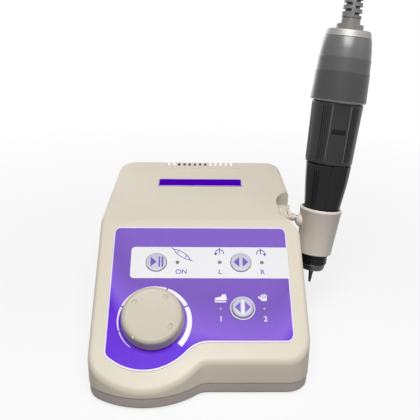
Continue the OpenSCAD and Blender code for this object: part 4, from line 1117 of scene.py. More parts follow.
@dataclass
class HandCord:
    """The cord from the boot over an arch, down to the table, into a tied coil and on to its plug.

    Its points are those of the CAD source. Routes are in metres.
    """

    diameter: float = 4 * MM
    square_end: float = 2.0
    straight: float = 10.0
    boot_end: float = 151.6
    arch: tuple = ((96, 50, 253), (99, 62, 262), (102, 76, 260), (104, 88, 247), (105, 94, 228))
    arch_end: Spot = (105, 96, 206)
    drop: tuple = ((104, 96, 184), (101, 96, 150), (98, 96, 110), (95, 96, 75), (93, 96, 45), (91, 97, 25),
                   (84, 97, 10), (72, 97, 3.2), (60, 97, 3), (48, 97, 5))
    landing: Spot = (93, 96, 45)
    bend_ends: Point = (-8, 6)
    lead: tuple = ((-18, 92, 17), (-8, 92, 15.2), (4, 93, 9.6), (14, 95, 4.6), (22, 97, 3))
    plug_end: Spot = (-24, 92, 17)
    plug_at: Spot = (-36, 83, 17)
    neck_at: Spot = (-36, 92, 17)
    coil_centre: Point = (32, 125)
    coil_radius: float = 28.0
    coil_pitch: float = 4.7
    coil_level: float = 3.0
    coil_in: float = 2.25
    coil_steps: int = 48
    coil_end: float = 4.0
    step: float = 2.5
    tie_round: float = 0.25

    @property
    def falling(self) -> Vector:
        """Direction of the cord where the arch becomes the falling stretch."""
        return (Vector(self.drop[0]) - Vector(self.arch[-1])).normalized()

    def coil_point(self, turns: float) -> Vector:
        """A point of the coil, which winds in, climbs half a turn and winds out again on top.

        Args:
            turns: How many turns along the coil it is.

        Returns:
            The point.
        """
        inner = self.coil_radius - self.coil_pitch * self.coil_in
        share = max(0.0, min(1.0, (turns - self.coil_in) / 0.5))
        if turns < self.coil_in:
            radius = self.coil_radius - self.coil_pitch * turns
        elif turns > self.coil_in + 0.5:
            radius = inner + self.coil_pitch * (turns - self.coil_in - 0.5)
        else:
            radius = inner - self.coil_pitch * (0.25 - abs(turns - self.coil_in - 0.25))
        angle = math.tau * turns - math.pi / 2
        climb = self.coil_pitch * (1 - math.cos(math.pi * share)) / 2
        return Vector((self.coil_centre[0] + radius * math.cos(angle),
                       self.coil_centre[1] + radius * math.sin(angle), self.coil_level + climb))

    def curve_through(self, points: Sequence[Vector], before: Vector | None = None) -> list[Vector]:
        """A smooth curve through points, with a point about every step.

        Args:
            points: Points that the curve passes through.
            before: A point before the first that gives the curve its first direction.

        Returns:
            Points along the curve.
        """
        path = []
        for i in range(len(points) - 1):
            b, c = points[i], points[i + 1]
            a = points[i - 1] if i else before or 2 * b - c
            d = points[i + 2] if i + 2 < len(points) else 2 * c - b
            count = max(1, round((c - b).length / self.step))
            for k in range(count):
                t = k / count
                path.append(0.5 * (2 * b + t * (c - a) + t * t * (2 * a - 5 * b + 4 * c - d)
                                   + t ** 3 * (3 * b - a - 3 * c + d)))
        return path + [points[-1]]

    def upper_route(self) -> list[Vector]:
        """Route from the boot over the arch.

        Returns:
            Its points.
        """
        along = [HAND @ Vector((0, 0, (self.boot_end + self.straight * k) * MM)) for k in (0, 0.5, 1)]
        start, first, end = along[2] / MM - PLAN.at(0, 0, 0), Vector(self.arch[0]), Vector(self.arch_end)
        before = first - 2 * (first - start).length * (along[2] - along[0]).normalized()
        bend = self.curve_through([start, *map(Vector, self.arch), end - self.square_end * self.falling], before)
        return along[:2] + [PLAN.at(*p) * MM for p in bend + [end]]

    def lower_route(self) -> list[Vector]:
        """Route from the arch's end down to the table, through the coil and on to the plug.

        Returns:
            Its points.
        """
        end, edge, ahead = Vector(self.arch_end), Vector((self.square_end, 0, 0)), Vector((self.coil_end, 0, 0))
        count = round((2 * self.coil_in + 0.5) * self.coil_steps)
        coil = [self.coil_point(k / self.coil_steps) for k in range(count + 1)]
        coil = [coil[0] - ahead] + coil + [coil[-1] + ahead]
        drop = self.curve_through([end + self.square_end * self.falling, *map(Vector, self.drop), coil[-1] + edge])
        lead = self.curve_through([*map(Vector, self.lead), coil[0] - edge])
        return [PLAN.at(*p) * MM for p in [end] + drop + coil[::-1] + lead[::-1] + [Vector(self.plug_end)]]

    def tube(self, name: str, path: Sequence[Vector]) -> Obj:
        """A round tube along a route, as a mesh with closed ends.

        Args:
            name: Name of the new object.
            path: The route.

        Returns:
            The new object.
        """
        data = bpy.data.curves.new(name, "CURVE")
        data.dimensions, data.bevel_depth, data.bevel_resolution = "3D", self.diameter / 2, 4
        data.use_fill_caps = True
        spline = data.splines.new("POLY")
        spline.points.add(len(path) - 1)
        for point, spot in zip(spline.points, path):
            point.co = (*spot, 1)
        obj = bpy.data.objects.new(name, data)
        bpy.context.scene.collection.objects.link(obj)
        pick(obj)
        bpy.ops.object.convert(target="MESH")
        with editing(obj):
            bpy.ops.mesh.remove_doubles(threshold=WELD)
            bpy.ops.mesh.normals_make_consistent(inside=False)
        obj.data.materials.append(Finish.CORD.material)
        return smooth(obj, 40)

    def lay(self, name: str, path: Sequence[Vector], bodies: tuple[Body, Body], bend: Sequence[Vector],
            nodes: Sequence[str], **facts: object) -> None:
        """Args:
            name: Name of the new piece.
            path: Its route.
            bodies: Bodies at its start and at its end; not used.
            bend: Where it starts and stops bending between them, in metres; not used.
            nodes: CAD nodes that it replaces.
            facts: What is said of the cord besides its size; not used.
        """
        obj = self.tube(name, path)
        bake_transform(obj)
        Finish.CORD.slot
        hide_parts(*nodes)

    def build_plug(self) -> Obj:
        """The right-angle plug: a ribbed head in the socket and a ringed neck along the wall.

        Returns:
            The plug.
        """
        head = [(0, -7), (4.1, -7), (4.1, 1.6), (5.7, 1.6), (6.5, 2.4)]
        for k in range(4):
            head += [(6.5, 4 + 2 * k), (6.05, 4.4 + 2 * k), (6.05, 5 + 2 * k), (6.5, 5.4 + 2 * k)]
        head += [(6.5, 13.2), *arc((5.2, 13.3), 1.3, 0, 90, 5), (0, 14.6)]
        neck = [(0, 2), (3.8, 2), (3.8, 7.2)]
        for k in range(3):
            neck += [(3.75 - 0.2 * k, 7.6 + 1.5 * k), (3.1, 7.9 + 1.5 * k), (3.1, 8.6 + 1.5 * k),
                     (3.6 - 0.2 * k, 8.8 + 1.5 * k)]
        neck += [(3.0, 12), (0, 12)]
        body = place(lathe("cord_plug_moulded", head, 48), PLAN.to(*self.plug_at) @ turn(-90, "X"))
        arm = place(lathe("plug_neck", neck, 40), PLAN.to(*self.neck_at) @ turn(90, "Y"))
        return settle(smooth(fuse(body, arm)), Body.BOX, Finish.DARK, "cord_plug")

    def build(self) -> None:
        """Builds the tie, the plug and the two stretches of cord."""
        tie = settle(softened("cord_tie", self.tie_round), Body.BOX, Finish.BLACK, "cord_tie")
        plug = self.build_plug()
        upper, lower = self.upper_route(), self.lower_route()
        above, below = (PLAN.at(*(Vector(self.arch_end) + way * self.falling)) * MM for way in self.bend_ends)
        self.lay("cord_upper", upper, (Body.HANDPIECE, Body.HOLDER), (upper[2], above), ["cord_arch"],
                 far_end="object", stiffness="medium", lay="hanging")
        self.lay("cord_lower", lower, (Body.HOLDER, Body.BOX), (below, PLAN.at(*self.landing) * MM),
                 ["cord_drop", "cord_coil", "cord_lead"],
                 far_end="connector", stiffness="medium", lay="coiled", with_pieces=[plug, tie])


# Box


@dataclass
class Housing:
    """Upper housing, base cover and feet."""

    deck_round: float = 2.6
    crease_share: float = 0.45
    round_steps: int = 6
    notch_x: float = 48.5
    notch_y: Point = (9.0, 24.0)
    notch_floor: float = 50.0
    notch_slope: float = 14.0
    scoop_steps: int = 14
    vent_count: int = 13
    vent_pitch: float = 3.7
    vent_size: Spot = (1.8, 7.0, 13.0)
    pad_vents: tuple[int, int] = (2, 8)
    dash_count: int = 15
    dash_at: float = 71.5
    dash_size: Spot = (1.9, 0.5, 0.3)
    rear_windows: tuple = ((-28, 52, 13, 21), (8, 52, 22.2, 11.2))
    rear_holes: tuple = ((-36, 17, 6.6), (34, 52, 4.0))
    base_inset: float = 0.4
    base_round: float = 1.8
    joint_gap: float = 0.2
    lip: Spot = (2.6, 3.8, 2.0)
    posts: tuple = ((-47, -52), (47, -52), (-47, 69), (47, 69))
    post_radius: float = 3.7
    well: Point = (3.2, 4.4)
    feet: tuple = ((-38, -66), (40, -58), (-35, 69), (35, 69))
    foot_radius: float = 6.0
    foot_height: float = 1.7
    above: float = 120.0

    @staticmethod
    def planes(drop: float) -> list[tuple[Vector, Vector]]:
        """The planes of the deck and of the top.

        Args:
            drop: How far they are lowered.

        Returns:
            A point of each, in metres, and its normal.
        """
        found = []
        for y, slope in ((PLAN.front_y, PLAN.deck_tilt), (PLAN.crease_y, PLAN.top_rise)):
            normal = turn(slope, "X") @ Vector((0, 0, 1))
            found.append(((Vector((0, y, PLAN.deck_z(y))) - drop * normal) * MM, normal))
        return found

    def wedge(self, name: str, inset: float, low: float, drop: float) -> Obj:
        """The box's plain form, drawn in from its walls and its skin.

        Args:
            name: Name of the new object.
            inset: Distance in from the walls.
            low: Height of its underside.
            drop: Distance below the deck and the top.

        Returns:
            The new object.
        """
        obj = slab(name, PLAN.outline(inset), low, 110)
        for point, normal in self.planes(drop):
            with editing(obj):
                bpy.ops.mesh.bisect(plane_co=point, plane_no=normal, use_fill=True, clear_outer=True,
                                    threshold=WELD)
        return obj

    def round_skin(self, shell: Obj) -> None:
        """Rounds the rim of the deck and the top, and the crease between them a little less.

        Args:
            shell: The housing, still sharp.
        """
        mesh, planes = shell.data, self.planes(0)
        weights = mesh.attributes.new("bevel_weight_edge", "FLOAT", "EDGE")
        for edge in mesh.edges:
            ends = [mesh.vertices[i].co for i in edge.vertices]
            touching = [all(abs((p - point).dot(normal)) < 2e-5 for p in ends) for point, normal in planes]
            weights.data[edge.index].value = self.crease_share if all(touching) else float(any(touching))
        modify(shell, "BEVEL", width=self.deck_round * MM, segments=self.round_steps, limit_method="WEIGHT",
               use_clamp_overlap=False)

    def notch(self, name: str, grow: float, floor: float) -> Obj:
        """The notch in the right side, as a cutter.

        Args:
            name: Name of the new object.
            grow: How far it is grown all round.
            floor: Height of its floor.

        Returns:
            The new object.
        """
        x, (y0, y1), slope, side, out = self.notch_x, self.notch_y, self.notch_slope, PLAN.width / 2, 80
        scoop = [(side + grow - (side + 2 * grow - x) * px, y1 + grow + slope * py)
                 for px, py in arc((0, 0), 1, 90, 0, self.scoop_steps)]
        points = [(x - grow, y0 - grow), (side + grow, y0 - slope - grow), (out, y0 - slope - grow),
                  (out, y1 + slope + grow), *scoop]
        return slab(name, [PLAN.at(px, py, 0).xy for px, py in points], floor, self.above)

    def row(self, count: int) -> list[float]:
        """Places across the box of openings at the vents' pitch."""
        return [(k - (count - 1) / 2) * self.vent_pitch for k in range(count)]

    def openings(self) -> Obj:
        """Cutters for the vents, the holes in the deck and those in the rear wall.

        Returns:
            The cutters, in one object.
        """
        rear, top = PLAN.source_rear, PLAN.top_z(PLAN.rear_y)
        width, length, depth = self.vent_size
        cutters = [PLAN.blank("vent", (x - width / 2, rear - length, top - depth),
                              (x + width / 2, rear + 1, self.above)) for x in self.row(self.vent_count)]
        width, length, depth = self.dash_size
        y, level = self.dash_at, PLAN.top_z(PLAN.at(0, self.dash_at, 0).y)
        cutters += [PLAN.blank("dash", (x - width / 2, y - length / 2, level - depth),
                               (x + width / 2, y + length / 2, level + 2)) for x in self.row(self.dash_count)]
        cutters.append(place(ControlPanel.drills(5), PLAN.on_deck()))
        cutters += [PLAN.blank("rear", (x - width / 2, rear - 5, z - height / 2),
                               (x + width / 2, rear + 5, z + height / 2))
                    for x, z, width, height in self.rear_windows]
        cutters += [place(rod("rear", radius, -5, 5), PLAN.to(x, rear, z) @ turn(90, "X"))
                    for x, z, radius in self.rear_holes]
        return gather(cutters)

    def build_shell(self) -> None:
        """Builds the upper housing."""
        wall, floor = PLAN.wall, self.notch_floor
        shell = self.wedge("housing_shell", 0, PLAN.parting, 0)
        self.round_skin(shell)
        cavity = self.wedge("cavity", wall, PLAN.parting - 1, wall)
        carve(cavity, self.notch("notch_wall", wall, floor - wall))
        seat = place(slab("seat", PLAN.panel_outline(-0.1), -0.3, 3), PLAN.on_deck())
        label = place(plate("label_seat", (28.1, 5.35), 0.4, -0.2, 2), PLAN.on_label())
        carve(shell, cavity, self.notch("notch", 0, floor), seat, label, self.openings())
        settle(smooth(shell, 24), Body.BOX, Finish.HOUSING, "upper_housing")

    @staticmethod
    def rods(places: Shape, radius: float, low: float, high: float) -> Obj:
        """Upright rods at several places of the box, in one object."""
        return gather(copies(rod("rod", radius, low, high), [PLAN.to(x, y) for x, y in places]))

    def build_base(self) -> None:
        """Builds the base cover with its lip and screw wells."""
        low, floor = PLAN.foot_stand, PLAN.foot_stand + PLAN.floor
        base = slab("base_pan", PLAN.outline(self.base_inset), low, PLAN.parting - self.joint_gap)
        mesh = base.data
        for items in (mesh.vertices, mesh.edges, mesh.polygons):
            items.foreach_set("select", [False] * len(items))
        for edge in mesh.edges:
            ends = [mesh.vertices[i] for i in edge.vertices]
            if all(abs(end.co.z - low * MM) < WELD for end in ends):
                edge.select = ends[0].select = ends[1].select = True
        with editing(base, whole=False):
            bpy.ops.mesh.bevel(offset=self.base_round * MM, segments=5, affect="EDGES", clamp_overlap=False)
        outer, inner, rise = self.lip
        lip = slab("lip", PLAN.outline(outer), floor, PLAN.parting + rise)
        carve(base, self.rods(self.posts, self.well[0], 0, self.well[1]),
              self.rods(self.feet, self.foot_radius + 0.1, 0, self.foot_height))
        fuse(base, lip)
        tray = slab("tray", PLAN.outline(inner), floor, 20)
        carve(base, carve(tray, self.rods(self.posts, self.post_radius, low - 1, 12)))
        settle(smooth(base, 24), Body.BOX, Finish.BASE, "base_cover")

    def build_pad(self) -> None:
        """Builds a dark pad behind the middle vents, with a tongue in each of them, as painted shade inside those
        vents.
        """
        places, top = self.row(self.vent_count)[slice(*self.pad_vents)], PLAN.top_z(PLAN.rear_y)
        low, high = (places[0] - 1.4, 77.4, top - 10), (places[-1] + 1.4, 80.1, top - 3.4)
        # The pad and its tongues are dark so that the middle vents look dark inside: painted shade.
        pad = ease(PLAN.blank("vent_shade_pad", low, high), 0.4)
        for x in places:
            fuse(pad, ease(PLAN.blank("tongue", (x - 0.8, 78.5, top - 8), (x + 0.8, 82.3, top - 0.9)), 0.2))
        settle(pad, Body.BOX, Finish.RING)

    def build_feet(self) -> None:
        """Builds the four rubber feet, each dished underneath."""
        r, h = self.foot_radius, self.foot_height
        foot = lathe("feet_moulded", [(0, 0.25), (r - 2.2, 0.25), (r - 1.8, 0), (r - 0.7, 0),
                                      *arc((r - 0.7, 0.7), 0.7, -90, 0, 4)[1:], (r, h), (0, h)], 40)
        feet = copies(foot, [PLAN.to(x, y) for x, y in self.feet])
        settle(smooth(gather(feet)), Body.BOX, Finish.FOOT, "rubber_feet")

    def build(self) -> None:
        """Builds all the mouldings of the box."""
        self.build_shell()
        self.build_base()
        self.build_pad()
        self.build_feet()


@dataclass
class ControlPanel:
    """The printed film on the deck with its marks, and the bare label on the top."""

    film: Point = (-0.3, 0.15)
    ink: float = 0.05
    sunk: float = 0.02
    outline_width: float = 0.75
    strip: tuple[float, ...] = (-40.3, 38.3, 51.25, 58.6)
    strip_corner: float = 2.2
    dial_inner: float = 18.9
    dial_outer: Point = (19.2, 21.9)
    dial_span: Point = (233.0, -43.0)
    dial_gaps: tuple[float, ...] = (199.0, 155.0, 111.0, 69.0, 24.7)
    dial_gap: float = 1.3
    letter_size: float = 4.2
    letter_weight: float = 0.06

    @staticmethod
    def drills(reach: float, above: float = -math.inf) -> Obj:
        """Cutters for the holes through the deck, in the deck's frame.

        Args:
            reach: How far they go each way.
            above: Place up the deck from which holes are taken.

        Returns:
            The cutters, in one object.
        """
        holes = [(*spot, 6.2) for spot in (Controls.run_at, Controls.direction_at, Controls.mode_at)]
        holes += [(*spot, 1.1) for spot in Controls.lamp_places()] + [(*Controls.knob_at, 3.6)]
        return gather([place(rod("hole", radius, -reach, reach), shift(x, s, 0))
                       for x, s, radius in holes if s > above])

    def printed(self, name: str, shapes: Sequence[Shape], finish: Finish, layer: float = 1,
                body: Body = Body.BOX, base: float = 0.15) -> None:
        """Prints outlines on the deck, as a thin skin of ink.

        Args:
            name: Name of the piece.
            shapes: Its outlines in the deck's frame.
            finish: Its ink.
            layer: How many inks lie under its top.
            body: Body that carries it.
            base: Height of the surface under it.
        """
        parts = [slab(name, shape, base - self.sunk, base + layer * self.ink) for shape in shapes]
        settle(place(gather(parts), PLAN.on_deck()), body, finish)

    def build_film(self) -> None:
        """Builds the tinted film and the line round it."""
        low, high = self.film
        film = carve(slab("panel_film", PLAN.panel_outline(0), low, high), self.drills(3))
        settle(place(film, PLAN.on_deck()), Body.BOX, Finish.FILM, "panel_overlay")
        line = slab("panel_line", PLAN.panel_outline(0.02), high - self.sunk, high + self.ink)
        carve(line, slab("inside", PLAN.panel_outline(self.outline_width), low, high + 1))
        settle(place(line, PLAN.on_deck()), Body.BOX, Finish.PALE_INK)

    def build_strip(self) -> None:
        """Builds the white strip behind the upper row of controls."""
        (x0, s0, x1, s1), r, top = self.strip, self.strip_corner, self.film[1]
        shape = [(x1, s0), (x1, s1), *arc((x0 + r, s1 - r), r, 90, 180, 6),
                 *arc((x0 + r, s0 + r), r, 180, 270, 6)]
        strip = carve(slab("panel_strip", shape, top - self.sunk, top + 1.2 * self.ink), self.drills(3, s0))
        settle(place(strip, PLAN.on_deck()), Body.BOX, Finish.STRIP)

    def build_dial(self) -> None:
        """Builds the dial's arc round the knob, which widens with the speed."""
        (first, last), (thin, thick) = self.dial_span, self.dial_outer
        cuts = [first, *self.dial_gaps, last]
        shapes = []
        for k, (start, stop) in enumerate(zip(cuts, cuts[1:])):
            start -= self.dial_gap if k else 0
            stop += self.dial_gap if k < len(self.dial_gaps) else 0
            steps = max(3, round((start - stop) / 4))
            angles = [start + (stop - start) * j / steps for j in range(steps + 1)]
            outer = [arc(Controls.knob_at, thin + (thick - thin) * (first - a) / (first - last), a, a, 1)[0]
                     for a in angles]
            inner = [arc(Controls.knob_at, self.dial_inner, a, a, 1)[0] for a in angles]
            shapes.append(outer + inner[::-1])
        self.printed("dial_arc", shapes, Finish.PALE_INK)

    @staticmethod
    def arrow_ring(x: float, s: float, way: int) -> list[list[Point]]:
        """A curved arrow.

        Args:
            x: Place across the deck.
            s: Place up the deck.
            way: The way that it turns, 1 or -1.

        Returns:
            Its outlines.
        """
        bow = [(x + way * px, py) for px, py in arc((0, s - 0.6), 2.3, 200, -10, 14)]
        tip = [(x + way * 3.4, s - 0.6), (x + way * 1.2, s - 0.6), (x + way * 2.3, s - 2.4)]
        return [stroke(bow, 0.55), tip, rounded_box((x - 0.3, s - 1.4), (x + 0.3, s + 2.9), 0.2, 3)]

    @staticmethod
    def pen_lines(head: Point, tip: Point) -> list[list[Point]]:
        """A drill pen drawn in thin lines.

        Args:
            head: Its cord end.
            tip: Its tip.

        Returns:
            Its outlines.
        """
        axis = Vector(tip) - Vector(head)
        side = Vector((-axis.y, axis.x)).normalized()

        def line(width: float, *spots: Point) -> list[Point]:
            """A line through points given by their share of the pen's length and their distance to its side."""
            return stroke([tuple(Vector(head) + share * axis + out * side) for share, out in spots], width)

        body = ((0.16, 0.45), (0.30, 1.15), (0.50, 1.4), (0.68, 1.25), (0.80, 0.8), (0.86, 0.4))
        lines = [line(0.55, (0, 0), (0.17, 0)), line(0.5, (0.86, 0), (1, 0))]
        lines += [line(0.42, *((share, way * out) for share, out in body)) for way in (-1, 1)]
        return lines + [line(0.38, (share, -out), (share, out))
                        for share, out in ((0.17, 0.5), (0.31, 1.1), (0.68, 1.2), (0.85, 0.5))]

    def build_icons(self) -> None:
        """Builds the pictograms and short marks by the lamps."""
        pen = self.pen_lines((-17.0, 58.2), (-4.6, 49.2))
        turns = self.arrow_ring(11.2, 55.3, -1) + self.arrow_ring(35.3, 55.0, 1)
        self.printed("strip_icons", pen + turns, Finish.VIOLET_INK, 2)
        foot = [[(8.0, 24.6), (14.6, 24.6), (14.9, 25.4), (14.3, 28.3), (12.3, 28.3), (11.7, 26.9), (8.3, 26.1)],
                rounded_box((8.0, 23.4), (14.6, 24.1), 0.3, 3)]
        hand = [rounded_box((33.9, 24.3), (37.4, 26.9), 0.9, 4), stroke([(34.2, 25.4), (32.6, 26.9)], 0.9)]
        hand += [rounded_box((34.0 + 0.9 * k, 26.0), (34.75 + 0.9 * k, 28.0 + 0.5 * (k in (1, 2))), 0.3, 3)
                 for k in range(4)]
        self.printed("mode_icons", foot + hand, Finish.PALE_INK)
        for word, x in (("ON", -11.0), ("L", 11.3), ("R", 35.8)):
            self.letter(word, x, 42.3, Finish.VIOLET_INK, 2)
        for word, x in (("1", 11.4), ("2", 36.0)):
            self.letter(word, x, 13.4, Finish.PALE_INK, 1)

    def letter(self, word: str, x: float, s: float, ink: Finish, layer: int) -> None:
        """Prints a short mark centred on a place of the deck.

        Args:
            word: What is printed.
            x: Place across the deck.
            s: Place up the deck.
            ink: Its ink.
            layer: How many inks lie under its top.
        """
        obj = fresh(f"mark_{word}", bpy.ops.object.text_add)
        half = (layer * self.ink + self.sunk) / 2
        text = obj.data
        text.body, text.size, text.align_x, text.align_y = word, self.letter_size * MM, "CENTER", "CENTER"
        text.extrude, text.offset = half * MM, self.letter_weight * MM
        bpy.ops.object.convert(target="MESH")
        heal(obj, 0.03 * MM)
        settle(place(obj, PLAN.on_deck(x, s, self.film[1] - self.sunk + half)), Body.BOX, ink)

    def build_label(self) -> None:
        """Builds the bare label on the top, with a thin line near its edge."""
        label = ease(plate("top_plate", (28, 5.25), 0.5, -0.2, 0.2), 0.08)
        settle(place(label, PLAN.on_label()), Body.BOX, Finish.LABEL, "top_label")
        line = plate("label_line", (27.9, 5.15), 0.4, 0.18, 0.25)
        carve(line, plate("inside", (27.5, 4.75), 0.3, 0, 1))
        settle(place(line, PLAN.on_label()), Body.BOX, Finish.PALE_INK)

    def build(self) -> None:
        """Builds the film, every print on it and the label."""
        self.build_film()
        self.build_strip()
        self.build_dial()
        self.build_icons()
        self.build_label()


@dataclass
class Controls:
    """Speed knob, push buttons and lamps."""

    knob_at = (-26.0, 12.5)
    run_at = (-25.5, 48.5)
    direction_at = (23.5, 48.5)
    mode_at = (23.5, 19.7)
    lamp_side = 12.2
    knob_radius: float = 17.4
    knob_height: float = 9.5
    knob_foot: float = 0.95
    knob_edge: float = 2.5
    knob_draft: float = 0.7
    dish_radius: float = 14.3
    dent_at: float = 12.7
    dent_radius: float = 2.6
    pointer_angle: float = -125.0
    key_radius: float = 5.9

    @classmethod
    def lamp_places(cls) -> list[Point]:
        """Place of each lamp on the deck."""
        sides = ((cls.run_at, 1), (cls.direction_at, -1), (cls.direction_at, 1), (cls.mode_at, -1),
                 (cls.mode_at, 1))
        return [(x + side * cls.lamp_side, s) for (x, s), side in sides]

    def build_knob(self) -> None:
        """Builds the knob with its dish, finger dents and pointer."""
        r, h, foot, dish = self.knob_radius, self.knob_height, self.knob_foot, self.dish_radius
        edge = arc((r - self.knob_draft - self.knob_edge, h - self.knob_edge), self.knob_edge, 0, 90, 12)
        knob = lathe("knob_cap", [(3.05, 3.15), (5.5, 3.15), (5.5, h - 2.6), (r - 2.6, h - 2.6), (r - 2.6, foot),
                                  (r - 0.4, foot), (r, foot + 0.4), *edge, (dish - 0.2, h - 0.04),
                                  (dish - 0.6, h - 0.16), (dish - 1.0, h - 0.2), (0, h - 0.2), (0, h - 3.2),
                                  (3.05, h - 3.2)], 128)
        dent = fresh("dent", bpy.ops.mesh.primitive_uv_sphere_add, radius=self.dent_radius * MM, segments=32,
                     ring_count=16)
        lean = shift(self.dent_at, 0, h + 1.5) @ turn(28, "Y") @ Matrix.Diagonal((0.62, 1, 1, 1))
        dents = copies(dent, [turn(angle + self.pointer_angle, "Z") @ lean for angle in (90, 180, 270)])
        carve(knob, gather(dents))
        ridge = ease(block("ridge", (r - 3.4, -0.6, h - 6.0), (r - 0.3, 0.6, h + 0.25)), 0.3, 3)
        smooth(gather([knob, place(ridge, turn(self.pointer_angle, "Z"))]), 28)
        settle(place(knob, PLAN.on_deck(*self.knob_at)), Body.SPEED, Finish.KNOB, "speed_knob")

    def build_keys(self, panel: ControlPanel) -> None:
        """Builds the three push buttons, their glyphs and the bezel of the lower one.

        Args:
            panel: The panel whose inks mark them.
        """
        r = self.key_radius
        for name, spot, rise, edge, body in (("run", self.run_at, 0.9, 0.45, Body.RUN),
                                             ("direction", self.direction_at, 0.9, 0.45, Body.DIRECTION),
                                             ("mode", self.mode_at, 2.2, 0.9, Body.MODE)):
            cap = lathe(f"{name}_cap", [(0, -8.5), (1.7, -8.5), (1.7, -4), (7.1, -4), (7.1, -2.8), (r, -2.8),
                                        *arc((r - edge, rise - edge), edge, 0, 90, 5), (0, rise + 0.02)], 64)
            settle(place(smooth(cap), PLAN.on_deck(*spot)), body, Finish.KEY, f"{name}_button")
        x, s = self.run_at
        bars = [rounded_box((x + at, s - 3.4), (x + at + 0.9, s + 3.4), 0.2, 3) for at in (1.3, 3.1)]
        panel.printed("run_glyph", [[(x - 3.3, s - 3.2), (x + 0.2, s), (x - 3.3, s + 3.2)], *bars],
                      Finish.VIOLET_INK, 1, Body.RUN, 0.91)
        panel.printed("direction_glyph", self.two_ways(*self.direction_at, 1.0), Finish.VIOLET_INK, 1,
                      Body.DIRECTION, 0.91)
        panel.printed("mode_glyph", self.two_ways(*self.mode_at, 1.3), Finish.VIOLET_INK, 1, Body.MODE, 2.21)
        x, s = self.mode_at
        panel.printed("mode_bar", [rounded_box((x - 0.6, s - 4.4), (x + 0.6, s + 4.4), 0.5, 4)], Finish.PALE_INK, 1,
                      Body.MODE, 2.21)
        bezel = lathe("mode_bezel", [(6.25, 0.1), (7.1, 0.1), (7.1, 0.5), *arc((6.75, 0.55), 0.35, 0, 180, 8),
                                     (6.25, 0.6)], 64)
        settle(place(smooth(bezel), PLAN.on_deck(*self.mode_at)), Body.BOX, Finish.BEZEL)

    @staticmethod
    def two_ways(x: float, s: float, gap: float, size: float = 3.2) -> list[list[Point]]:
        """Two triangles that point away from each other."""
        return [[(x + side * gap, s - size), (x + side * (gap + size), s), (x + side * gap, s + size)][::side]
                for side in (-1, 1)]

    def build_lamps(self) -> None:
        """Builds the five small lamps."""
        lamp = lathe("lamp", [(0, -12.1), (1.5, -12.1), (1.5, -10.2), (1, -10.2), (1, 0.1), (0.85, 0.26),
                              (0.55, 0.36), (0, 0.4)], 32)
        lamps = copies(lamp, [PLAN.on_deck(x, s) for x, s in self.lamp_places()])
        for name, finish, group, nodes in (("strip_lamps", Finish.LAMP, lamps[:3], ["indicator_lights"]),
                                           ("mode_lamps", Finish.ROSE_LAMP, lamps[3:], [])):
            settle(named(smooth(gather(group)), name), Body.BOX, finish, *nodes)

    def build(self, panel: ControlPanel) -> None:
        """Builds every control.

        Args:
            panel: The panel whose inks mark the buttons.
        """
        self.build_knob()
        self.build_keys(panel)
        self.build_lamps()


@dataclass
class RearWall:
    """Switch, inlet and sockets in the rear wall."""

    edge: float = 0.3
    fittings: tuple[str, ...] = ("power_switch", "mains_inlet", "handpiece_socket", "pedal_jack")

    def build(self) -> None:
        """Builds the fittings and the rocker."""
        for node in self.fittings:
            settle(softened(node, self.edge), Body.BOX, Finish.BLACK, node)
        settle(softened("power_rocker", self.edge), Body.ROCKER, Finish.BLACK, "power_rocker")


@dataclass
class Holder:
    """The bracket in the notch and the cup that tilts on it."""

    cup_length: float = 29.5
    cup_low: float = 9.4
    cup_wall: float = 1.2
    mouth: float = 11.764
    knuckle_at: float = -8.0
    ball_at: float = -9.6
    knuckle_radius: float = 4.3
    knuckle_span: Point = (9.96, 15.36)
    ball_end: float = 78.0
    clear_turn: float = 1.3
    pin_radius: float = 1.55
    bracket_round: float = 0.35
    pocket: tuple = ((49.8, 8, 72.2), (58, 22.3, 80))
    rib_x: Point = (52.3, 54.9)
    rib_y: Point = (9.8, 22.5)
    rib_size: Point = (0.9, 1.2)

    def build_cup(self) -> None:
        """Builds the tapered cup with its lip and knuckle, whose edges are turned clear of each other."""
        low, length, mouth, radius = self.cup_low, self.cup_length, self.mouth, self.knuckle_radius
        foot, rim, (start, stop) = low + self.cup_wall, mouth + self.cup_wall, self.knuckle_span
        cup = lathe("cup_moulded", [(0, -length), (foot - 0.4, -length), (foot, -length + 0.4), (rim - 0.05, -1.9),
                                    (rim + 0.2, -1.5), (rim + 0.2, -1.1), (rim - 0.05, -0.6), (rim - 0.5, -0.15),
                                    (rim - 0.8, 0), (0, 0)])
        ball = arc((0, stop - radius), radius, 0, self.ball_end, 14)
        nub = lathe("knuckle", [(0, start), (radius - 0.5, start), *ball, (ball[-1][0], stop - 0.1),
                                (0, stop - 0.1)], 48)
        clear = turn(self.clear_turn, "Z")
        fuse(cup, place(nub, shift(0, 0, self.ball_at) @ turn(-90, "Y") @ clear))
        bore = lathe("bore", [(0, -length - 1), (low - 0.08, -length - 1), (mouth, -0.4), (mouth + 0.3, 0.05),
                              (mouth + 0.3, 1), (0, 1)])
        pin = place(rod("pin", self.pin_radius, 11.4, 20), shift(0, 0, self.knuckle_at) @ turn(-90, "Y"))
        settle(place(smooth(carve(cup, place(bore, clear), pin)), HAND), Body.HOLDER, Finish.CUP, "holder_cup")

    def build_bracket(self) -> None:
        """Builds the bracket, its plate hollowed from above with two low ribs on its floor."""
        (y0, y1), (wide, tall), floor = self.rib_y, self.rib_size, self.pocket[0][2]
        bracket = carve(softened("holder_bracket", self.bracket_round), PLAN.blank("pocket", *self.pocket))
        for x in self.rib_x:
            fuse(bracket, PLAN.blank("rib", (x, y0, floor - 0.3), (x + wide, y1, floor + tall)))
        settle(smooth(bracket), Body.BOX, Finish.BRACKET, "holder_bracket")

    def build(self) -> None:
        """Builds the bracket and the cup."""
        self.build_bracket()
        self.build_cup()


# Handpiece


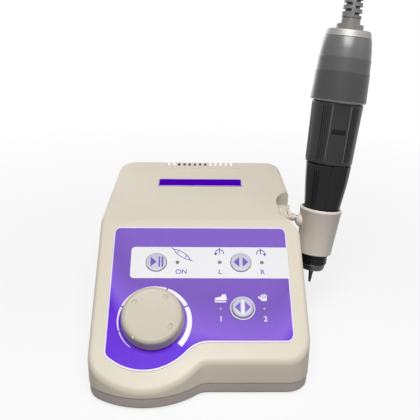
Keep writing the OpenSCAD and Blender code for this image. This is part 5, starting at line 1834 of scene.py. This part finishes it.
@dataclass
class Handpiece:
    """Every outer piece of the handpiece, in its own frame along its axis. Angles are in degrees."""

    flat_angle: float = -91.0
    flat_width: float = 10.4
    flat_depth: float = 1.0
    slot_half: float = 4.0
    slot_at: Point = (0.1, 2.9)
    rail: Point = (0.55, 0.12)
    twist_span: Point = (28.7, 65.7)
    twist_radius: float = 14.9
    twist_middle: float = 47.2
    twist_slope: float = 1.2 / 37
    scallop_angles: Spot = (-68.0, 52.0, 172.0)
    scallop_radius: float = 40.0
    scallop_depth: float = 1.45
    grip_middle: float = 14.0
    grip_slope: float = 5.7 / 57.7
    groove_angles: tuple = (27.5, 32.5, 37.5, 42.5, 80.0, 85.0, 90.0, 95.0, 100.0, 143.5, 148.5, 153.5, 158.5)
    groove_width: float = 0.6
    groove_depth: float = 0.55
    slot_rows: int = 9
    slot_pitch: float = 3.6
    slot_start: float = 116.2
    slot_height: float = 1.6
    slot_angle: float = -8.0
    slot_core: float = 0.74
    spine: float = 2.0

    @staticmethod
    def done(obj: Obj, finish: Finish, *nodes: str, body: Body = Body.HANDPIECE) -> None:
        """Moves a piece from the handpiece's frame to its place and finishes it."""
        settle(place(smooth(obj, 30), HAND), body, finish, *nodes)

    @staticmethod
    def spoke(angle: float, out: float, along: float, slope: float) -> Matrix:
        """Frame on the handpiece's skin, leant by its slope."""
        return turn(angle, "Z") @ shift(out, 0, along) @ turn(math.degrees(math.atan(slope)), "Y")

    def groove(self, low: float, high: float) -> Obj:
        """Cutter for one groove along the skin."""
        return block("groove", (-self.groove_depth, -self.groove_width / 2, low), (3, self.groove_width / 2, high))

    def build_nose(self) -> None:
        """Builds the nose piece, the ring behind it and the bit."""
        self.done(lathe("nose_turned", [(4.5, -40.3), (6.8, -40.3), (7.3, -39.9), (7.6, -39.2), (8.15, -36.6),
                                        (8.0, -36.2), (6, -36.2), (6, -19.5), (4.5, -19.5)]),
                  Finish.NOSE, "nose_piece")
        bead = ((8.25, 0), (8.55, 0.15), (8.7, 0.5), (8.7, 1.2), (8.55, 1.55), (8.25, 1.7))
        beads = [(r, start + w) for start in (-36.0, -33.9, -31.8) for r, w in bead]
        self.done(lathe("nose_ring_turned", [(6.1, -36), *beads, (8.25, -29.7), (6.1, -29.7)]),
                  Finish.RING, "nose_ring")
        bit = lathe("bit_ground", [(0, -49.7), (0.45, -49.7), (0.75, -49.3), (1.6, -41.1), (1.6, -40.7),
                                   (1.175, -40.3), (1.175, -20.5), (0, -20.5)], 40)
        flutes = copies(rod("flute", 0.28, -50.5, -41.6, 10),
                        [turn(45 * k, "Z") @ shift(1.22, 0, -45.3) @ turn(5.9, "Y") @ shift(0.14, 0, 45.3)
                         for k in range(8)])
        self.done(carve(bit, gather(flutes)), Finish.BURR, "drill_bit", body=Body.ROTATING)

    def build_grip(self) -> None:
        """Builds the front grip with its scalloped facets and groups of grooves."""
        grip = lathe("grip_moulded", [
            (6.1, -29.5), (8.3, -29.5), (8.5, -29.3), (11.38, -0.2), (12.25, 7), (13.15, 14), (13.8, 21),
            (14.1, 26.6), (14.2, 27.2), (14.05, 28.0), (13.7, 28.2), (8.1, 28.2), (8.1, -18.6),
            (6.1, -18.6)], 144)
        wide = self.scallop_radius
        scallop = lathe("scallop", [(0, -33), (wide - 1.7, -33), (wide - 0.25, -27.5), (wide, -25.5), (wide, 11.5),
                                    (0, 11.5)], 160)
        along, away = (self.grip_middle, self.grip_slope), 13.2 + wide - self.scallop_depth
        scallops = copies(scallop, [self.spoke(angle, away, *along) for angle in self.scallop_angles])
        grooves = copies(self.groove(-12, 10.5), [self.spoke(angle + step, 13.05, *along)
                                                  for angle in self.scallop_angles for step in (54.0, 60.0, 66.0)])
        self.done(carve(grip, gather(scallops), gather(grooves)), Finish.FACETS, "front_grip")

    def build_twist(self) -> None:
        """Builds the twist ring with its two flats, their slots and rails, and the grooves between."""
        low, high = self.twist_span
        twist = lathe("twist_moulded", [
            (12.6, low), (13.8, low), (14.2, low + 0.35), (14.35, low + 1.2), (15.4, high - 1.6),
            (15.5, high - 1.0), (15.2, high - 0.3), (14.9, high), (12.6, high)], 144)
        skin = (self.twist_radius, self.twist_middle, self.twist_slope)
        half, deep, wide, reach, out = self.flat_width / 2, self.flat_depth, self.slot_half, 20, 5
        (start, stop), (thick, proud) = self.slot_at, self.rail
        sides = [self.spoke(self.flat_angle + side, *skin) for side in (0, 180)]
        cutters = [block("flat", (-deep, -half, -reach), (out, half, reach)),
                   block("window", (-deep - 0.3, -wide, stop), (out, wide, reach)),
                   block("slot", (-deep - 0.9, -wide, start), (out, wide, stop))]
        grooves = copies(self.groove(-16, 16.5), [self.spoke(self.flat_angle + side * angle, *skin)
                                                  for angle in self.groove_angles for side in (-1, 1)])
        carve(twist, *(gather(copies(cutter, sides)) for cutter in cutters), gather(grooves))
        self.done(twist, Finish.GRIP, "twist_ring", body=Body.CHUCK)
        # The rails get a lighter finish: a painted highlight along the edges of the flats.
        drop = self.twist_radius - math.sqrt(self.twist_radius ** 2 - (half + thick / 2) ** 2)
        pair = [ease(block("rail", (-drop - 0.4, edge, -16.6), (proud - drop, edge + thick, 16.8)), 0.12)
                for edge in (-half - thick, half)]
        # A dark insert on the floor of each slot: painted shade in the slots.
        mark = ease(block("mark", (-deep - 1.0, -wide + 0.1, start + 0.1),
                          (-deep - 0.35, wide - 0.1, stop - 0.1)), 0.15)
        for name, trim, finish in (("twist_slot_shade", mark, Finish.RING), ("twist_rails", gather(pair), Finish.EDGE_HIGHLIGHT)):
            self.done(named(gather(copies(trim, sides)), name), finish, body=Body.CHUCK)

    def build_rear(self) -> None:
        """Builds the rear sleeve, the bright ring, the end cap and the slotted boot."""
        self.done(lathe("sleeve_painted", [
            (12.3, 66.2), (16.1, 66.2), (16.45, 66.35), (16.7, 66.8), (16.7, 67.4), (16.12, 83.7), (15.84, 84.0),
            (15.52, 91.7), (15.3, 92.0), (14.9, 97), (13.95, 103.2), (13.7, 103.6), (11.2, 103.6), (11.2, 98.6),
            (12.3, 97.6)], 128), Finish.SLEEVE, "rear_sleeve")
        self.done(lathe("tail_polished", [
            (5.4, 103.65), (13.4, 103.65), (13.6, 103.9), (13.35, 105), (12.9, 107.2), (12.6, 107.65),
            (12.3, 107.8), (5.4, 107.8)], 128), Finish.BRIGHT, "tail_ring")
        self.done(lathe("cap_turned", [
            (0, 99.1), (11.1, 99.1), (11.1, 103.55), (5.3, 103.55), (5.3, 107.85), (7.7, 107.85), (8, 108.1),
            (8, 110.6), (7.6, 111.1), (7.2, 111.2), (5.8, 111.2), (5.6, 111.4), (5.6, 114.3), (5.4, 114.6),
            (0, 114.6)]), Finish.CAP, "end_cap")
        boot = lathe("boot_moulded", [
            (0, 114.65), (5.5, 114.65), (5.8, 115.0), (5.8, 118.6), (4.0, 150.9), (3.7, 151.4), (3.3, 151.6),
            (0, 151.6)], 64)
        slots = copies(block("slot", (self.spine / 2, -9, 0), (9, 9, self.slot_height)),
                       [turn(self.slot_angle + 180 * side, "Z")
                        @ shift(0, 0, self.slot_start + (k + side / 2) * self.slot_pitch)
                        for k in range(self.slot_rows) for side in (0, 1)])
        share = self.slot_core
        core = lathe("core", [(0, 110), (share * 5.8, 110), (share * 4.0, 152), (0, 152)], 48)
        self.done(carve(boot, carve(gather(slots), core)), Finish.BOOT, "cord_boot")
        share += 0.01
        self.done(lathe("boot_liner", [(0, 115.4), (share * 5.8, 115.4), (share * 5.7, 118.6),
                                       (share * 4.05, 149.6), (share * 3.9, 150), (0, 150)], 48), Finish.BLACK)

    def build(self) -> None:
        """Builds every outer piece of the handpiece."""
        self.build_nose()
        self.build_grip()
        self.build_twist()
        self.build_rear()


@dataclass
class InnerWorks:
    """The CAD nodes that stay as they are, with the finish of each."""

    finishes: tuple = (
        (Finish.STEEL, "base_screws", "potentiometer_nut", "control_board_screws", "transformer_screws",
         "power_board_screws", "rocker_pin", "bracket_screws", "holder_pin", "spindle_tube", "front_bearing",
         "rear_bearing", "spindle", "motor_plate", "motor_can", "knob_shaft", "transformer_core"),
        (Finish.BRASS, "inlet_pins", "collet"),
        (Finish.COPPER, "transformer_winding", "motor_rotor"),
        (Finish.BOARD, "control_board", "power_board"),
        (Finish.DARK, "potentiometer", "push_switches", "filter_capacitor"),
        (Finish.FINS, "heat_sink"),
        (Finish.NOSE, "motor_magnets"))

    def dress(self) -> None:
        """Gives every such node its material."""
        for finish, *nodes in self.finishes:
            for node in nodes:
                materials = frame["nodes"][node].data.materials
                materials.clear()
                materials.append(finish.material)
                LOG.info("%s: %s", node, finish.name.lower())


def main() -> None:
    """Builds the whole scene in order."""
    logging.basicConfig(level=logging.INFO, format="%(name)s: %(message)s")
    bpy.context.scene.view_settings.view_transform = "Standard"
    studio = Studio()
    studio.place_camera()
    HandCord().build()
    Housing().build()
    panel = ControlPanel()
    panel.build()
    Controls().build(panel)
    RearWall().build()
    Holder().build()
    Handpiece().build()
    InnerWorks().dress()
    studio.lay_floor()
    studio.light()


if __name__ == "__main__":
    main()
